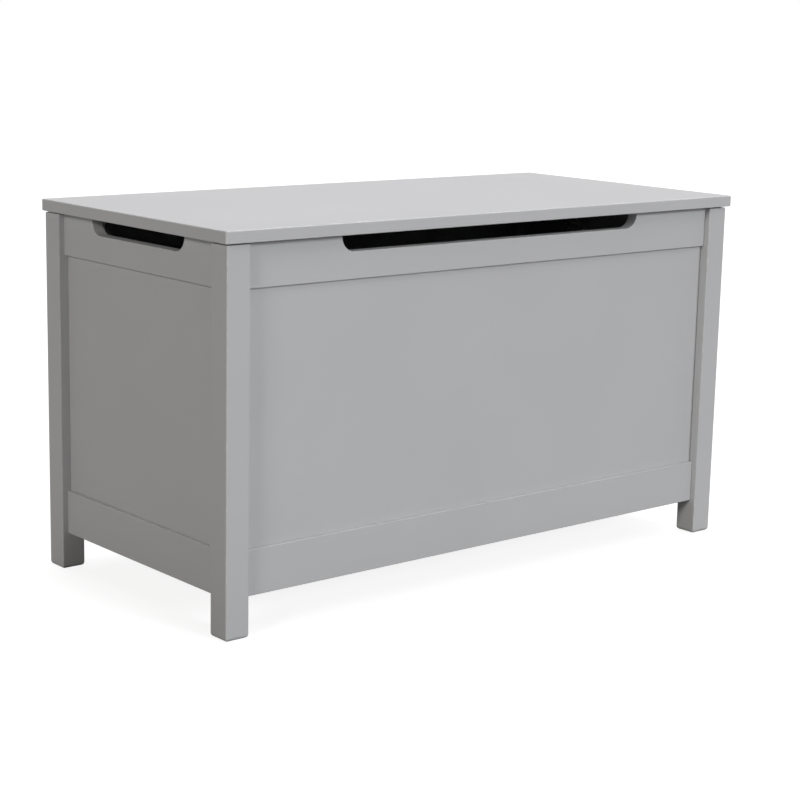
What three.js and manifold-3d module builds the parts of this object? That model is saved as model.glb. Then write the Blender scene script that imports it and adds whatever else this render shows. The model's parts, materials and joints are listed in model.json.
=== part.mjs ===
// Wooden toy box: four square legs, framed sides with finger slots, a flat lid on two butt hinges
// and a pair of folding lid stays. Millimetres, +Z up, front faces -Y. The origin is on the floor,
// under the middle of the whole object.

import * as THREE from "three";
import { mergeVertices } from "three/addons/utils/BufferGeometryUtils.js";
import Module from "manifold-3d";

const wasm = await Module();
wasm.setup();

// ---- Driving dimensions ---------------------------------------------------------------------

const FIT = 0.3; // clearance kept around tenons, panels, bolts and other fitted pieces
const PAST = 1; // how far a cut or a join reaches past the face that it starts from
const SCREW_SIDES = 10; // round pieces are drawn with this many flats
const CAM_BOLT_SIDES = 12;

// Legs and the body over them
const BODY_WIDTH = 850;
const BODY_DEPTH = 405;
const LEG_SIZE = 33;
const LEG_HEIGHT = 468;
const LEG_EDGE_RADIUS = 2;

// Rails: flat boards between the legs, above and below each panel
const RAIL_THICKNESS = 16;
const RAIL_RECESS = 8.5; // leg face to rail face, at the front and the sides
const REAR_RAIL_RECESS = 0; // the rear rails are flush, so that the hinges reach their edge
const TOP_RAIL_HEIGHT = 53;
const BOTTOM_RAIL_HEIGHT = 57;
const FLOOR_CLEARANCE = 48; // floor to the bottom rails
const TENON_THICKNESS = 10;
const TENON_CLEARANCE = 0.5; // tenon's end to the front rails' cam bolts, inside the leg
const TENON_SHOULDER = 10; // rail edge to tenon edge

// Panels: thin boards held in grooves of the rails and legs
const PANEL_THICKNESS = 5;
const PANEL_RECESS = 5; // rail face to panel face
const RAIL_GROOVE_DEPTH = 8;
const LEG_GROOVE_DEPTH = 6;

// Finger slots, open at the top, under the lid
const SLOT_DEPTH = 19.5;
const SLOT_RADIUS = 19;
const FRONT_SLOT_LENGTH = 506;
const SIDE_SLOT_LENGTH = 206;

// Base board and the bar under its middle
const BASE_THICKNESS = 6;
const BASE_GROOVE_DEPTH = 5;
const BASE_GROOVE_HEIGHT = 18; // bottom rail's lower edge to the base board's underside
const CROSS_BAR_WIDTH = 40;

// Lid
const LID_THICKNESS = 15;
const LID_OVERHANG = 5; // past the legs at the front and the sides; flush at the rear

// Butt hinges between the rear top rail and the lid
const LEAF_THICKNESS = 0.9;
const LEAF_GAP = 0.2; // between the two closed leaves
const LEAF_LENGTH = 50;
const LEAF_WIDTH = 15;
const BARREL_RADIUS = 3.5;
const BARREL_CLEARANCE = 0.5; // rear face of the box to the barrel
const PIN_RADIUS = 2.3;
const PIN_CLEARANCE = 0.25;
const PIN_HEAD_RADIUS = 3.1;
const PIN_HEAD_LENGTH = 1;
const HINGE_SPACING = 560; // between the middles of the two hinges
const HINGE_SCREW_SPACING = 30;
const SCREW_HEAD_RADIUS = 3;
const SCREW_HEAD_LENGTH = 1.8;
const SCREW_RADIUS = 1.5;
const SCREW_LENGTH = 12;
const SCREW_POINT_LENGTH = 2;

// Lid stays. Seen from the side, the box pivot, the elbow, the lid pivot and the hinge axis are
// the corners of a parallelogram, so the lower arm keeps to the lid's angle at every opening.
const BOX_PIVOT = { ahead: 76, below: 40 }; // measured from the hinge axis
const LID_PIVOT = { ahead: 92, below: 20 };
const ARM_WIDTH = 16;
const ARM_THICKNESS = 2.5;
const STUD_RADIUS = 3.5;
const STUD_HEAD_RADIUS = 6;
const STUD_HEAD_THICKNESS = 1.5;
const BRACKET_THICKNESS = 2;
const BOX_BRACKET = { length: 60, height: 28, corner: 6 };
const DAMPER_RADIUS = 13;
const LID_BRACKET = { length: 44, width: 26 };
const EAR_RADIUS = 9;
const EAR_CLEARANCE = 1.1; // box bracket to the lid bracket's ear

// Knock-down fittings that hold the front and rear rails to the legs
const CAM_RADIUS = 7.2;
const CAM_HEIGHT = 12.5;
const CAM_INSET = 30; // rail end to cam axis
const CAM_RECESS = { length: 8, width: 1.4, depth: 2 }; // the cross for the screwdriver
const CAM_BOLT_RADIUS = 2.5;
const CAM_BOLT_HEAD = { radius: 3.4, length: 4 };
const CAM_THREAD = { radius: 3, length: 10, chamfer: 1 }; // the end that turns into the leg
const CAM_BOLT_CLEARANCE = 1; // around the thread, in the rail's hole

// ---- Places worked out from them ------------------------------------------------------------

const BARREL_OFFSET = BARREL_RADIUS + BARREL_CLEARANCE; // rear face of the box to the hinge axis
const OVERALL_DEPTH = LID_OVERHANG + BODY_DEPTH + BARREL_OFFSET + BARREL_RADIUS;
const FRONT_Y = -OVERALL_DEPTH / 2 + LID_OVERHANG; // front faces of the front legs
const REAR_Y = FRONT_Y + BODY_DEPTH; // rear faces of the rear legs
const MIDDLE_Y = (FRONT_Y + REAR_Y) / 2;
const SIDE_X = BODY_WIDTH / 2; // outer faces of the legs
const TOP_RAIL_Z = LEG_HEIGHT - TOP_RAIL_HEIGHT;
const BASE_Z = FLOOR_CLEARANCE + BASE_GROOVE_HEIGHT;
const LID_GAP = 2 * LEAF_THICKNESS + LEAF_GAP;
const AXIS_Y = REAR_Y + BARREL_OFFSET;
const AXIS_Z = LEG_HEIGHT + LID_GAP / 2;
const LID_UNDERSIDE = LID_GAP / 2; // above the hinge axis
const PANEL_TOP = TOP_RAIL_Z + RAIL_GROOVE_DEPTH - FIT;
const PANEL_BOTTOM = FLOOR_CLEARANCE + BOTTOM_RAIL_HEIGHT - RAIL_GROOVE_DEPTH + FIT;
const CAM_AXIS_DEPTH = RAIL_THICKNESS / 2; // rail face to the cam bolt's axis
const TENON_LENGTH = LEG_SIZE - RAIL_RECESS - CAM_AXIS_DEPTH - CAM_THREAD.radius - TENON_CLEARANCE;
const TOP_CAM_HEIGHT = TOP_RAIL_HEIGHT / 2; // rail's lower edge to the cam bolt's axis
const BOTTOM_CAM_HEIGHT =
  (BASE_GROOVE_HEIGHT + BASE_THICKNESS + BOTTOM_RAIL_HEIGHT - RAIL_GROOVE_DEPTH) / 2;
const HINGE_XS = [-HINGE_SPACING / 2, HINGE_SPACING / 2];
const SCREW_XS = [-HINGE_SCREW_SPACING / 2, HINGE_SCREW_SPACING / 2]; // from a hinge's middle
const SCREW_AHEAD = BARREL_OFFSET + RAIL_THICKNESS / 2; // hinge axis to the rows of screws

// ---- Materials ------------------------------------------------------------------------------

const finish = (color, roughness, metalness = 0) =>
  new THREE.MeshStandardMaterial({ color, roughness, metalness });
const paintedWood = finish(0xb4b7b8, 0.5);
const zincPlatedSteel = finish(0xb9bcbe, 0.35, 1);
const castZinc = finish(0x9a9c9e, 0.45, 1);

// ---- Making solids --------------------------------------------------------------------------

const X = new THREE.Vector3(1, 0, 0);
const Y = new THREE.Vector3(0, 1, 0);
const Z = new THREE.Vector3(0, 0, 1);
const DOWN = Z.clone().negate();

// A closed three.js geometry as a solid: shared vertices merged, collapsed triangles left out.
function toSolid(geometry) {
  const bare = geometry.clone();
  bare.deleteAttribute("normal");
  bare.deleteAttribute("uv");
  const merged = mergeVertices(bare, 1e-4);
  const corners = merged.index.array;
  const kept = [];
  for (let i = 0; i < corners.length; i += 3) {
    const [a, b, c] = corners.slice(i, i + 3);
    if (a !== b && b !== c && c !== a) kept.push(a, b, c);
  }
  return new wasm.Manifold(
    new wasm.Mesh({
      numProp: 3,
      vertProperties: merged.attributes.position.array,
      triVerts: Uint32Array.from(kept),
    }),
  );
}

function toGeometry(solid) {
  const { vertProperties, triVerts } = solid.getMesh();
  const geometry = new THREE.BufferGeometry();
  geometry.setAttribute("position", new THREE.BufferAttribute(vertProperties, 3));
  geometry.setIndex(new THREE.BufferAttribute(triVerts, 1));
  geometry.computeVertexNormals();
  return geometry;
}

// A block from two values on each axis, given in either order.
function block([x0, x1], [y0, y1], [z0, z1]) {
  const geometry = new THREE.BoxGeometry(Math.abs(x1 - x0), Math.abs(y1 - y0), Math.abs(z1 - z0));
  geometry.translate((x0 + x1) / 2, (y0 + y1) / 2, (z0 + z1) / 2);
  return toSolid(geometry);
}

// A turned piece: profile points are [radius, distance along direction], from axis to axis.
function turned(profile, direction, start, sides = 16) {
  const points = profile.map(([radius, distance]) => new THREE.Vector2(radius, distance));
  const geometry = new THREE.LatheGeometry(points, sides);
  geometry.applyQuaternion(new THREE.Quaternion().setFromUnitVectors(Y, direction));
  geometry.translate(...start);
  return toSolid(geometry);
}

const rodProfile = (radius, length) => [[0, 0], [radius, 0], [radius, length], [0, length]];
const rod = (radius, length, direction, start) => turned(rodProfile(radius, length), direction, start);

// A flat outline drawn as seen from the right (y across, z up), thickened from x0 to x1.
function sideView(shape, [x0, x1]) {
  const thickness = Math.abs(x1 - x0);
  const geometry = new THREE.ExtrudeGeometry(shape, {
    depth: thickness,
    bevelEnabled: false,
    curveSegments: 6,
  });
  geometry.applyMatrix4(new THREE.Matrix4().makeBasis(Y, Z, X));
  geometry.translate(Math.min(x0, x1), 0, 0);
  return toSolid(geometry);
}

// A flat outline drawn as seen from the front (x across, z up), thickened from y = 0 to the back.
function frontView(shape, thickness) {
  const geometry = new THREE.ExtrudeGeometry(shape, {
    depth: thickness,
    bevelEnabled: false,
    curveSegments: 4,
  });
  geometry.rotateX(Math.PI / 2);
  geometry.translate(0, thickness, 0);
  return toSolid(geometry);
}

// A flat outline seen from above (x across, y back), thickened upwards from z = 0.
function topView(shape, height) {
  return toSolid(
    new THREE.ExtrudeGeometry(shape, { depth: height, bevelEnabled: false, curveSegments: 2 }),
  );
}

function roundedRectangle(x0, x1, y0, y1, radius) {
  const shape = new THREE.Shape();
  shape.absarc(x1 - radius, y0 + radius, radius, -Math.PI / 2, 0);
  shape.absarc(x1 - radius, y1 - radius, radius, 0, Math.PI / 2);
  shape.absarc(x0 + radius, y1 - radius, radius, Math.PI / 2, Math.PI);
  shape.absarc(x0 + radius, y0 + radius, radius, Math.PI, 1.5 * Math.PI);
  shape.closePath();
  return shape;
}

const model = new THREE.Group();

// Names a piece, gives it its material and puts it into a group at a place.
function add(group, name, solid, material, position = [0, 0, 0]) {
  const mesh = new THREE.Mesh(toGeometry(solid), material);
  mesh.name = name;
  mesh.position.set(...position);
  group.add(mesh);
}

// ---- Legs -----------------------------------------------------------------------------------

// A leg stands on its own frame's origin, in the middle of its section. Each leg has mortises for
// the side rails, grooves for two panels and holes for the cam bolts of the front or rear rails.
function leg(side, end) {
  const half = LEG_SIZE / 2;
  const endRecess = end < 0 ? RAIL_RECESS : REAR_RAIL_RECESS;
  // Distances inward from the leg's outer faces, as coordinates
  const inX = (distance) => side * (half - distance);
  const inY = (distance) => end * (half - distance);

  let solid = topView(roundedRectangle(-half, half, -half, half, LEG_EDGE_RADIUS), LEG_HEIGHT);

  const tenonStart = RAIL_RECESS + (RAIL_THICKNESS - TENON_THICKNESS) / 2;
  const mortiseX = [inX(tenonStart - FIT), inX(tenonStart + TENON_THICKNESS + FIT)];
  const mortiseY = [inY(LEG_SIZE - TENON_LENGTH - FIT), inY(LEG_SIZE + PAST)];
  const rails = [
    { z: FLOOR_CLEARANCE, height: BOTTOM_RAIL_HEIGHT, cam: BOTTOM_CAM_HEIGHT },
    { z: TOP_RAIL_Z, height: TOP_RAIL_HEIGHT, cam: TOP_CAM_HEIGHT },
  ];
  for (const rail of rails) {
    const mortiseZ = [rail.z + TENON_SHOULDER - FIT, rail.z + rail.height - TENON_SHOULDER + FIT];
    solid = solid.subtract(block(mortiseX, mortiseY, mortiseZ));
    const mouth = [inX(LEG_SIZE + PAST), inY(endRecess + CAM_AXIS_DEPTH), rail.z + rail.cam];
    const outward = X.clone().multiplyScalar(side);
    const depth = PAST + CAM_THREAD.length + FIT;
    solid = solid.subtract(rod(CAM_THREAD.radius + FIT, depth, outward, mouth));
  }

  const grooveDepth = [LEG_SIZE - LEG_GROOVE_DEPTH, LEG_SIZE + PAST];
  const grooveWidth = (recess) => [
    recess + PANEL_RECESS - FIT,
    recess + PANEL_RECESS + PANEL_THICKNESS + FIT,
  ];
  const grooveZ = [PANEL_BOTTOM - FIT, PANEL_TOP + FIT];
  const sideGroove = block(grooveWidth(RAIL_RECESS).map(inX), grooveDepth.map(inY), grooveZ);
  const endGroove = block(grooveDepth.map(inX), grooveWidth(endRecess).map(inY), grooveZ);
  return solid.subtract(sideGroove).subtract(endGroove);
}

for (const [end, endName] of [[-1, "front"], [1, "rear"]]) {
  for (const [side, sideName] of [[-1, "left"], [1, "right"]]) {
    const x = side * (SIDE_X - LEG_SIZE / 2);
    const y = end < 0 ? FRONT_Y + LEG_SIZE / 2 : REAR_Y - LEG_SIZE / 2;
    add(model, `leg_${endName}_${sideName}`, leg(side, end), paintedWood, [x, y, 0]);
  }
}

// ---- Screws ---------------------------------------------------------------------------------

// Screws are countersunk: flush head, cone, shank and point, going in along a direction.
function screw(direction, start) {
  const profile = [
    [0, 0],
    [SCREW_HEAD_RADIUS, 0],
    [SCREW_RADIUS, SCREW_HEAD_LENGTH],
    [SCREW_RADIUS, SCREW_LENGTH - SCREW_POINT_LENGTH],
    [0, SCREW_LENGTH],
  ];
  return turned(profile, direction, start, SCREW_SIDES);
}

// The screw's hole: its outline with clearance, and open past the head.
function screwHole(direction, start) {
  const headRadius = SCREW_HEAD_RADIUS + FIT;
  const shankRadius = SCREW_RADIUS + FIT;
  const depth = SCREW_LENGTH + FIT;
  const profile = [
    [0, -1],
    [headRadius, -1],
    [headRadius, 0],
    [shankRadius, SCREW_HEAD_LENGTH],
    [shankRadius, depth],
    [0, depth],
  ];
  return turned(profile, direction, start, SCREW_SIDES);
}

// Screw holes in the rear top rail, in that rail's own frame
function railScrewHoles() {
  const top = TOP_RAIL_HEIGHT + LEAF_THICKNESS;
  const holes = HINGE_XS.flatMap((hinge) =>
    SCREW_XS.map((x) => screwHole(DOWN, [hinge + x, RAIL_THICKNESS / 2, top])),
  );
  return wasm.Manifold.union(holes);
}

// ---- Framed sides ---------------------------------------------------------------------------

// Each side is a group of two rails and a panel. Its own frame has x along the side, y inward from
// the rails' outer faces and z up from the floor, with the origin in the middle.

// Elevation of a rail, with the finger slot in its upper edge if slotLength is over 0. The slot's
// bottom corners are round and its mouth is square to the edge.
function railOutline(length, height, slotLength) {
  const end = length / 2;
  const slot = slotLength / 2;
  const shape = new THREE.Shape();
  shape.moveTo(-end, 0);
  shape.lineTo(end, 0);
  shape.lineTo(end, height);
  if (slotLength > 0) {
    const centreZ = height - SLOT_DEPTH + SLOT_RADIUS;
    shape.lineTo(slot, height);
    shape.absarc(slot - SLOT_RADIUS, centreZ, SLOT_RADIUS, 0, -Math.PI / 2, true);
    shape.absarc(-slot + SLOT_RADIUS, centreZ, SLOT_RADIUS, -Math.PI / 2, -Math.PI, true);
    shape.lineTo(-slot, height);
  }
  shape.lineTo(-end, height);
  shape.closePath();
  return shape;
}

// Cuts the groove that holds the panel's edge: along the rail's lower or upper edge.
function panelGroove(length, edge, inward) {
  const y = [PANEL_RECESS - FIT, PANEL_RECESS + PANEL_THICKNESS + FIT];
  return block([-length / 2, length / 2], y, [edge - inward, edge + inward * RAIL_GROOVE_DEPTH]);
}

function baseGroove(length) {
  const y = [RAIL_THICKNESS - BASE_GROOVE_DEPTH, RAIL_THICKNESS + PAST];
  const z = [BASE_GROOVE_HEIGHT - FIT, BASE_GROOVE_HEIGHT + BASE_THICKNESS + FIT];
  return block([-length / 2, length / 2], y, z);
}

// Tenons are rooted in the rail's ends by their own length.
function withTenons(rail, length, height) {
  const start = (RAIL_THICKNESS - TENON_THICKNESS) / 2;
  for (const side of [-1, 1]) {
    const tenon = block(
      [side * (length / 2 - TENON_LENGTH), side * (length / 2 + TENON_LENGTH)],
      [start, start + TENON_THICKNESS],
      [TENON_SHOULDER, height - TENON_SHOULDER],
    );
    rail = rail.add(tenon);
  }
  return rail;
}

// Holes for the cam lock, from the rail's inner face, and for its bolt, from the rail's end.
function withCamHoles(rail, length, camHeight) {
  for (const side of [-1, 1]) {
    const camX = side * (length / 2 - CAM_INSET);
    const bottom = RAIL_THICKNESS - CAM_HEIGHT - 2 * FIT;
    const camHole = rod(CAM_RADIUS + FIT, RAIL_THICKNESS, Y, [camX, bottom, camHeight]);
    const outward = X.clone().multiplyScalar(side);
    const boltStart = [camX, CAM_AXIS_DEPTH, camHeight];
    const boltHole = rod(CAM_THREAD.radius + CAM_BOLT_CLEARANCE, CAM_INSET + PAST, outward, boltStart);
    rail = rail.subtract(camHole).subtract(boltHole);
  }
  return rail;
}

const END_LENGTH = BODY_WIDTH - 2 * LEG_SIZE - 2 * FIT; // front and rear rails, between the legs
const SIDE_LENGTH = BODY_DEPTH - 2 * LEG_SIZE - 2 * FIT; // side rails' shoulders
const LEFT_X = -SIDE_X + RAIL_RECESS; // rail faces of the two sides
const RIGHT_X = SIDE_X - RAIL_RECESS;
const SIDES = [
  { name: "front", at: [0, FRONT_Y + RAIL_RECESS], turn: 0, slot: FRONT_SLOT_LENGTH },
  { name: "rear", at: [0, REAR_Y - REAR_RAIL_RECESS], turn: Math.PI, slot: 0 },
  { name: "left", at: [LEFT_X, MIDDLE_Y], turn: -Math.PI / 2, slot: SIDE_SLOT_LENGTH, tenons: true },
  { name: "right", at: [RIGHT_X, MIDDLE_Y], turn: Math.PI / 2, slot: SIDE_SLOT_LENGTH, tenons: true },
];

for (const side of SIDES) {
  const group = new THREE.Group();
  group.position.set(...side.at, 0);
  group.rotation.z = side.turn;
  model.add(group);

  const length = side.tenons ? SIDE_LENGTH : END_LENGTH;
  let top = frontView(railOutline(length, TOP_RAIL_HEIGHT, side.slot), RAIL_THICKNESS);
  let bottom = frontView(railOutline(length, BOTTOM_RAIL_HEIGHT, 0), RAIL_THICKNESS);
  if (side.tenons) {
    top = withTenons(top, length, TOP_RAIL_HEIGHT);
    bottom = withTenons(bottom, length, BOTTOM_RAIL_HEIGHT);
  } else {
    top = withCamHoles(top, length, TOP_CAM_HEIGHT);
    bottom = withCamHoles(bottom, length, BOTTOM_CAM_HEIGHT);
  }
  top = top.subtract(panelGroove(length, 0, 1));
  bottom = bottom.subtract(panelGroove(length, BOTTOM_RAIL_HEIGHT, -1)).subtract(baseGroove(length));
  if (side.name === "rear") top = top.subtract(railScrewHoles());

  const panelEnd = length / 2 + LEG_GROOVE_DEPTH;
  const panel = block(
    [-panelEnd, panelEnd],
    [PANEL_RECESS, PANEL_RECESS + PANEL_THICKNESS],
    [PANEL_BOTTOM, PANEL_TOP],
  );
  add(group, `${side.name}_top_rail`, top, paintedWood, [0, 0, TOP_RAIL_Z]);
  add(group, `${side.name}_bottom_rail`, bottom, paintedWood, [0, 0, FLOOR_CLEARANCE]);
  add(group, `${side.name}_panel`, panel, paintedWood);

  if (!side.tenons) {
    addCamFittings(group, side.name, "top", TOP_RAIL_Z + TOP_CAM_HEIGHT);
    addCamFittings(group, side.name, "bottom", FLOOR_CLEARANCE + BOTTOM_CAM_HEIGHT);
  }
}

// ---- Knock-down fittings --------------------------------------------------------------------

// A cam lock is a drum with a channel that takes the bolt's head, open towards the leg, and a
// cross in its face for the screwdriver. It lies in the rail, flush with the inner face.
function camLock(towardsLeg) {
  const bottom = RAIL_THICKNESS - CAM_HEIGHT - FIT;
  const channel = CAM_BOLT_HEAD.radius + FIT;
  const cross = CAM_RECESS.length / 2;
  const face = [RAIL_THICKNESS - FIT - CAM_RECESS.depth, RAIL_THICKNESS];
  const across = [-cross, cross];
  const narrow = [-CAM_RECESS.width / 2, CAM_RECESS.width / 2];
  return rod(CAM_RADIUS, CAM_HEIGHT, Y, [0, bottom, 0])
    .subtract(
      block(
        [-towardsLeg * (CAM_BOLT_HEAD.length / 2 + FIT), towardsLeg * (CAM_RADIUS + PAST)],
        [CAM_AXIS_DEPTH - channel, CAM_AXIS_DEPTH + channel],
        [-channel, channel],
      ),
    )
    .subtract(block(across, face, narrow))
    .subtract(block(narrow, face, across));
}

// A cam bolt runs from its head, in the middle of the cam, to its thread in the leg.
function camBolt(towardsLeg) {
  const { radius, length } = CAM_BOLT_HEAD;
  const shoulder = CAM_INSET + FIT + length / 2; // head's back to the leg's face
  const end = shoulder + CAM_THREAD.length;
  const profile = [
    [0, 0],
    [radius, 0],
    [radius, length],
    [CAM_BOLT_RADIUS, length],
    [CAM_BOLT_RADIUS, shoulder],
    [CAM_THREAD.radius, shoulder],
    [CAM_THREAD.radius, end - CAM_THREAD.chamfer],
    [CAM_THREAD.radius - CAM_THREAD.chamfer, end],
    [0, end],
  ];
  const direction = X.clone().multiplyScalar(towardsLeg);
  const start = [(-towardsLeg * length) / 2, CAM_AXIS_DEPTH, 0];
  return turned(profile, direction, start, CAM_BOLT_SIDES);
}

// The rear side's group is turned round, so its own left is the box's right.
function addCamFittings(group, sideName, level, height) {
  for (const towardsLeg of [-1, 1]) {
    const boxSide = sideName === "rear" ? -towardsLeg : towardsLeg;
    const place = `${sideName}_${level}_${boxSide < 0 ? "left" : "right"}`;
    const position = [towardsLeg * (END_LENGTH / 2 - CAM_INSET), 0, height];
    add(group, `cam_lock_${place}`, camLock(towardsLeg), castZinc, position);
    add(group, `cam_bolt_${place}`, camBolt(towardsLeg), zincPlatedSteel, position);
  }
}

// ---- Base -----------------------------------------------------------------------------------

// The base board's edges lie in the bottom rails' grooves, and its corners are cut out round the
// legs. The outline is drawn from the front left corner, going round to the right.
function baseBoard() {
  const tongue = RAIL_THICKNESS - BASE_GROOVE_DEPTH + FIT;
  const right = SIDE_X - RAIL_RECESS - tongue;
  const front = FRONT_Y + RAIL_RECESS + tongue;
  const rear = REAR_Y - REAR_RAIL_RECESS - tongue;
  const notchX = SIDE_X - LEG_SIZE - FIT;
  const notchFront = FRONT_Y + LEG_SIZE + FIT;
  const notchRear = REAR_Y - LEG_SIZE - FIT;
  const rightHalf = [
    [notchX, front],
    [notchX, notchFront],
    [right, notchFront],
    [right, notchRear],
    [notchX, notchRear],
    [notchX, rear],
  ];
  const leftHalf = rightHalf.map(([x, y]) => [-x, y]).reverse();
  const outline = [...rightHalf, ...leftHalf].map(([x, y]) => new THREE.Vector2(x, y));
  return topView(new THREE.Shape(outline), BASE_THICKNESS);
}

const crossBar = block(
  [-CROSS_BAR_WIDTH / 2, CROSS_BAR_WIDTH / 2],
  [
    FRONT_Y + RAIL_RECESS + RAIL_THICKNESS + FIT,
    REAR_Y - REAR_RAIL_RECESS - RAIL_THICKNESS - FIT,
  ],
  [FLOOR_CLEARANCE, BASE_Z],
);
add(model, "base_board", baseBoard(), paintedWood, [0, 0, BASE_Z]);
add(model, "base_cross_bar", crossBar, paintedWood);

// ---- Hinges ---------------------------------------------------------------------------------

// A leaf in the hinge's frame, with the axis along x: a plate ahead of the barrel, then tabs that
// reach its own knuckles. up is 1 for the lid's leaf, above the axis, and -1 for the rail's.
function leaf(up, knuckles) {
  const inner = (up * LEAF_GAP) / 2;
  const plateZ = [inner, inner + up * LEAF_THICKNESS];
  const front = -BARREL_OFFSET - LEAF_WIDTH;
  const bore = PIN_RADIUS + PIN_CLEARANCE;
  const bearing = bore + FIT;
  let solid = block([-LEAF_LENGTH / 2, LEAF_LENGTH / 2], [front, -BARREL_OFFSET], plateZ);
  for (const [x0, x1] of knuckles) {
    solid = solid
      .add(block([x0, x1], [-BARREL_OFFSET - PAST, -bearing], plateZ))
      .add(rod(BARREL_RADIUS, x1 - x0, X, [x0, 0, 0]));
  }
  const boreStart = [-LEAF_LENGTH / 2 - PAST, 0, 0];
  solid = solid.subtract(rod(bore, LEAF_LENGTH + 2 * PAST, X, boreStart));
  for (const x of SCREW_XS) {
    const head = [x, -SCREW_AHEAD, inner];
    solid = solid.subtract(screwHole(Z.clone().multiplyScalar(up), head));
  }
  return solid;
}

// Three knuckles share the leaf's length: the outer two are the rail leaf's, the middle the lid's.
const KNUCKLE = (LEAF_LENGTH - 2 * FIT) / 3;
const OUTER_KNUCKLES = [
  [-LEAF_LENGTH / 2, -LEAF_LENGTH / 2 + KNUCKLE],
  [LEAF_LENGTH / 2 - KNUCKLE, LEAF_LENGTH / 2],
];
const MIDDLE_KNUCKLE = [[-KNUCKLE / 2, KNUCKLE / 2]];

function hingePin() {
  const start = -LEAF_LENGTH / 2 - FIT - PIN_HEAD_LENGTH;
  const length = LEAF_LENGTH + 2 * FIT + 2 * PIN_HEAD_LENGTH;
  const profile = [
    [0, 0],
    [PIN_HEAD_RADIUS, 0],
    [PIN_HEAD_RADIUS, PIN_HEAD_LENGTH],
    [PIN_RADIUS, PIN_HEAD_LENGTH],
    [PIN_RADIUS, length - PIN_HEAD_LENGTH],
    [PIN_HEAD_RADIUS, length - PIN_HEAD_LENGTH],
    [PIN_HEAD_RADIUS, length],
    [0, length],
  ];
  return turned(profile, X, [start, 0, 0]);
}

HINGE_XS.forEach((x, i) => {
  const name = ["hinge_left", "hinge_right"][i];
  const group = new THREE.Group();
  group.position.set(x, AXIS_Y, AXIS_Z);
  model.add(group);
  add(group, `${name}_rail_leaf`, leaf(-1, OUTER_KNUCKLES), zincPlatedSteel);
  add(group, `${name}_lid_leaf`, leaf(1, MIDDLE_KNUCKLE), zincPlatedSteel);
  add(group, `${name}_pin`, hingePin(), zincPlatedSteel);
  SCREW_XS.forEach((screwX, j) => {
    const head = [screwX, -SCREW_AHEAD, LEAF_GAP / 2];
    const railHead = [screwX, -SCREW_AHEAD, -LEAF_GAP / 2];
    add(group, `${name}_lid_screw_${j + 1}`, screw(Z, head), zincPlatedSteel);
    add(group, `${name}_rail_screw_${j + 1}`, screw(DOWN, railHead), zincPlatedSteel);
  });
});

// ---- Lid ------------------------------------------------------------------------------------

// The lid turns about the hinge axis, so its group has that axis as its origin.
const lidGroup = new THREE.Group();
lidGroup.position.set(0, AXIS_Y, AXIS_Z);
model.add(lidGroup);

function lidBoard() {
  const halfWidth = SIDE_X + LID_OVERHANG;
  const front = FRONT_Y - LID_OVERHANG - AXIS_Y;
  const board = block(
    [-halfWidth, halfWidth],
    [front, -BARREL_OFFSET],
    [LID_UNDERSIDE, LID_UNDERSIDE + LID_THICKNESS],
  );
  const holes = HINGE_XS.flatMap((hinge) =>
    SCREW_XS.map((x) => screwHole(Z, [hinge + x, -SCREW_AHEAD, LEAF_GAP / 2])),
  );
  return board.subtract(wasm.Manifold.union(holes));
}
add(lidGroup, "lid", lidBoard(), paintedWood);

// ---- Lid stays ------------------------------------------------------------------------------

// Pivots seen from the side, as y and z from the hinge axis
const BOX_POINT = new THREE.Vector2(-BOX_PIVOT.ahead, -BOX_PIVOT.below);
const LID_POINT = new THREE.Vector2(-LID_PIVOT.ahead, -LID_PIVOT.below);
const ELBOW_POINT = BOX_POINT.clone().add(LID_POINT);

// Layers across a stay, as distances inward from the side rails' inner faces
const BOX_PLATE_LAYER = [FIT, FIT + BRACKET_THICKNESS];
const EAR_START = BOX_PLATE_LAYER[1] + EAR_CLEARANCE;
const EAR_LAYER = [EAR_START, EAR_START + ARM_THICKNESS];
const UPPER_ARM_LAYER = [EAR_LAYER[1] + FIT, EAR_LAYER[1] + FIT + ARM_THICKNESS];
const LOWER_ARM_LAYER = [UPPER_ARM_LAYER[1] + FIT, UPPER_ARM_LAYER[1] + FIT + ARM_THICKNESS];
const headAfter = (layer) => [layer[1] + FIT, layer[1] + FIT + STUD_HEAD_THICKNESS];

// An arm: a flat bar with round ends about its two pivots, and a hole at each
function armOutline(from, to) {
  const along = Math.atan2(to.y - from.y, to.x - from.x);
  const quarter = Math.PI / 2;
  const shape = new THREE.Shape();
  shape.absarc(to.x, to.y, ARM_WIDTH / 2, along - quarter, along + quarter);
  shape.absarc(from.x, from.y, ARM_WIDTH / 2, along + quarter, along + 3 * quarter);
  shape.closePath();
  for (const pivot of [from, to]) {
    const hole = new THREE.Path();
    hole.absarc(pivot.x, pivot.y, STUD_RADIUS + FIT, 0, 2 * Math.PI, true);
    shape.holes.push(hole);
  }
  return shape;
}

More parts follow.
